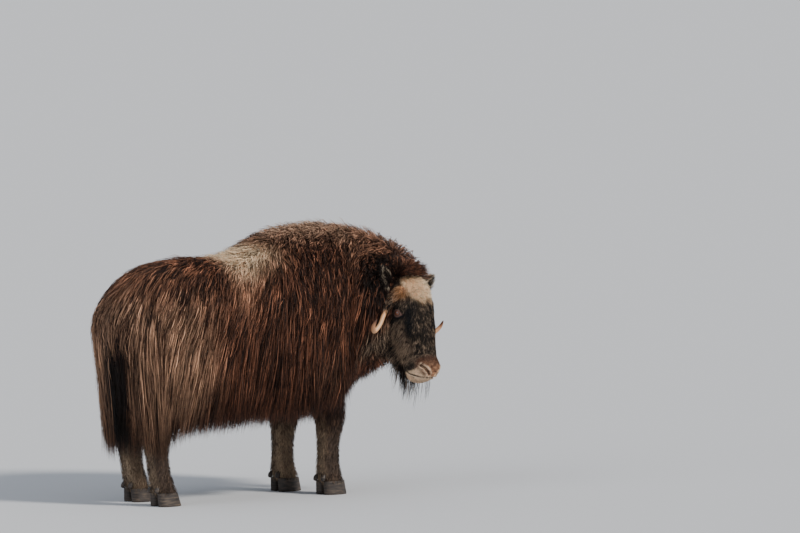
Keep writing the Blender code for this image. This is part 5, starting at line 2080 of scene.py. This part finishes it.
for side, side_name in NAMED_SIDES.items():
    node = "horn_" + side_name
    loft_meshes[node] = horns[node].data
    horn_cover(node, side, 70 + side)
print("the whole coat has", len(coat), "pieces")

# %% [markdown]
# ## Hooves
#
# Each foot has two broad toes with a narrow cleft between them, and two small dewclaws behind. A toe is a
# loft of close rows, so its growth rings are real ridges, and the second toe is its mirror.

# %% Toes and dewclaws
TOE_ROWS = 34
TOE_COLUMNS = 44
HOOF_LENGTH = 0.118
HOOF_WIDTH = 0.108
HOOF_LEAN = 0.012
CLEFT = 0.007
LEG_GAP = 0.0015  # from the leg's outline to the top of the hoof
WEAR = 0.05  # share of the sole's size that is worn off its edge
RIDGES = 8.5
RIDGE_HEIGHT = 0.007  # as a share of the toe's size
SOLE_ROWS = (0.0, 0.0008, 0.003)
DEWCLAW = (  # out from the cleft, behind the leg's rear, height
    (0.020, -0.012, 0.088),
    (0.025, 0.001, 0.080),
    (0.027, 0.006, 0.068),
    (0.027, 0.008, 0.060),
)
DEWCLAW_RINGS = 14
DEWCLAW_RADII = ((0, 0.5, 0.85, 1), (0.009, 0.011, 0.0085, 0.003))  # shares of the way down, radii


def hoof_place(stance):
    _, ahead, right = STANCE[stance]
    return np.array([-right, -ahead, 0])


def toe_rings(stance, turn):
    _, foot_ahead, foot_long, foot_wide = STANCE[stance][0][-1]
    heights = np.concatenate([SOLE_ROWS, np.linspace(0.006, HOOF_HEIGHT, TOE_ROWS - len(SOLE_ROWS))])
    share = heights / HOOF_HEIGHT
    cleft = CLEFT / 2 * (1 - 0.5 * share)
    half_long = HOOF_LENGTH / 2 * (1 - share) + (foot_long - LEG_GAP) * share
    half_wide = (HOOF_WIDTH / 2 * (1 - share) + (foot_wide - LEG_GAP) * share - cleft) / 2
    worn = 1 - WEAR * np.exp(-heights / 0.0016)
    wave = np.sin(share * math.tau * RIDGES + 0.8 * np.sin(share * 11))
    ridge = 1 + RIDGE_HEIGHT * wave * fade(share, 0.02, 0.15)
    lean = HOOF_LEAN * (1 - share) + foot_ahead * share
    angles = np.linspace(0, math.tau, TOE_COLUMNS, endpoint=False)
    toe = np.cos(angles)
    narrow = 1 - 0.30 * fade(toe, 0.3, 1.0) * (1 - 0.6 * share)[:, None]
    side = (half_wide * worn * ridge)[:, None] * power(np.sin(angles), 2 / 2.5) * narrow
    x = turn * (cleft + half_wide)[:, None] + side
    reach = np.where(toe > 0, power(toe, 2 / 2.0), power(toe, 2 / 2.6))
    y = -(half_long * worn * ridge)[:, None] * reach - lean[:, None]
    return np.stack([x, y, heights[:, None] + 0 * x], -1) + hoof_place(stance) + SHIFT


def dewclaw_rings(stance, turn):
    _, foot_ahead, foot_long, _ = STANCE[stance][0][-1]
    path = [(turn * out, foot_long - foot_ahead + behind, height) for out, behind, height in DEWCLAW]
    path = smooth_path(path, DEWCLAW_RINGS) + hoof_place(stance) + SHIFT
    radii = np.interp(np.linspace(0, 1, DEWCLAW_RINGS), *DEWCLAW_RADII)
    return tube_rings(path, radii, 18, [1.0, 0, 0])


def hoof_finish():
    finish = Finish("hoof_horn", roughness=0.5, specular=0.4)
    rings = finish.noise(finish.stretched(finish.place(), (1, 1, 6)), scale=26, detail=5)
    stops = ((0.30, paint(34, 29, 27)), (0.55, paint(62, 53, 47)), (0.75, paint(98, 84, 70)))
    colour = finish.ramp(rings, stops)
    return finish.done(colour, finish.bump(rings, strength=0.45, distance=0.001))


def joined(name, parts, finish):
    shape = bmesh.new()
    for part in parts:
        shape.from_mesh(part.data)
        bpy.data.objects.remove(part)
    mesh = bpy.data.meshes.new(name)
    shape.to_mesh(mesh)
    shape.free()
    mesh.shade_smooth()
    mesh.materials.append(finish)
    return link(bpy.data.objects.new(name, mesh))


def hoof(stance, finish):
    parts = [loft("toe", toe_rings(stance, turn)) for turn in NAMED_SIDES]
    parts += [loft("dewclaw", dewclaw_rings(stance, turn)) for turn in NAMED_SIDES]
    return joined("toes_" + stance, parts, finish)


hoof_horn = hoof_finish()
hooves = {"hoof_" + stance: hoof(stance, hoof_horn) for stance in STANCE}
print("each hoof has", len(hooves["hoof_fore_right"].data.polygons), "faces")

# %% [markdown]
# ## Pieces on the root
#
# Every piece rides on the body root, and the skin stands for all the imported nodes of flesh. The
# imported flesh, eyes, horns and hooves are hidden.

# %% Pieces on the root
FLESH = ["rump", "barrel", "shoulders", "neck", "tail", "head", "ear_left", "ear_right", "leg_fore_left",
         "leg_fore_right", "leg_hind_left", "leg_hind_right"]
for piece in coat:
    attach(piece, "root")
for group, slot in ((eyes, "eye"), (horns, "horn"), (hooves, "hoof")):
    for node, piece in group.items():
        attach(piece, "root")
        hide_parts(node)
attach(skin, "root")
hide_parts(*FLESH)
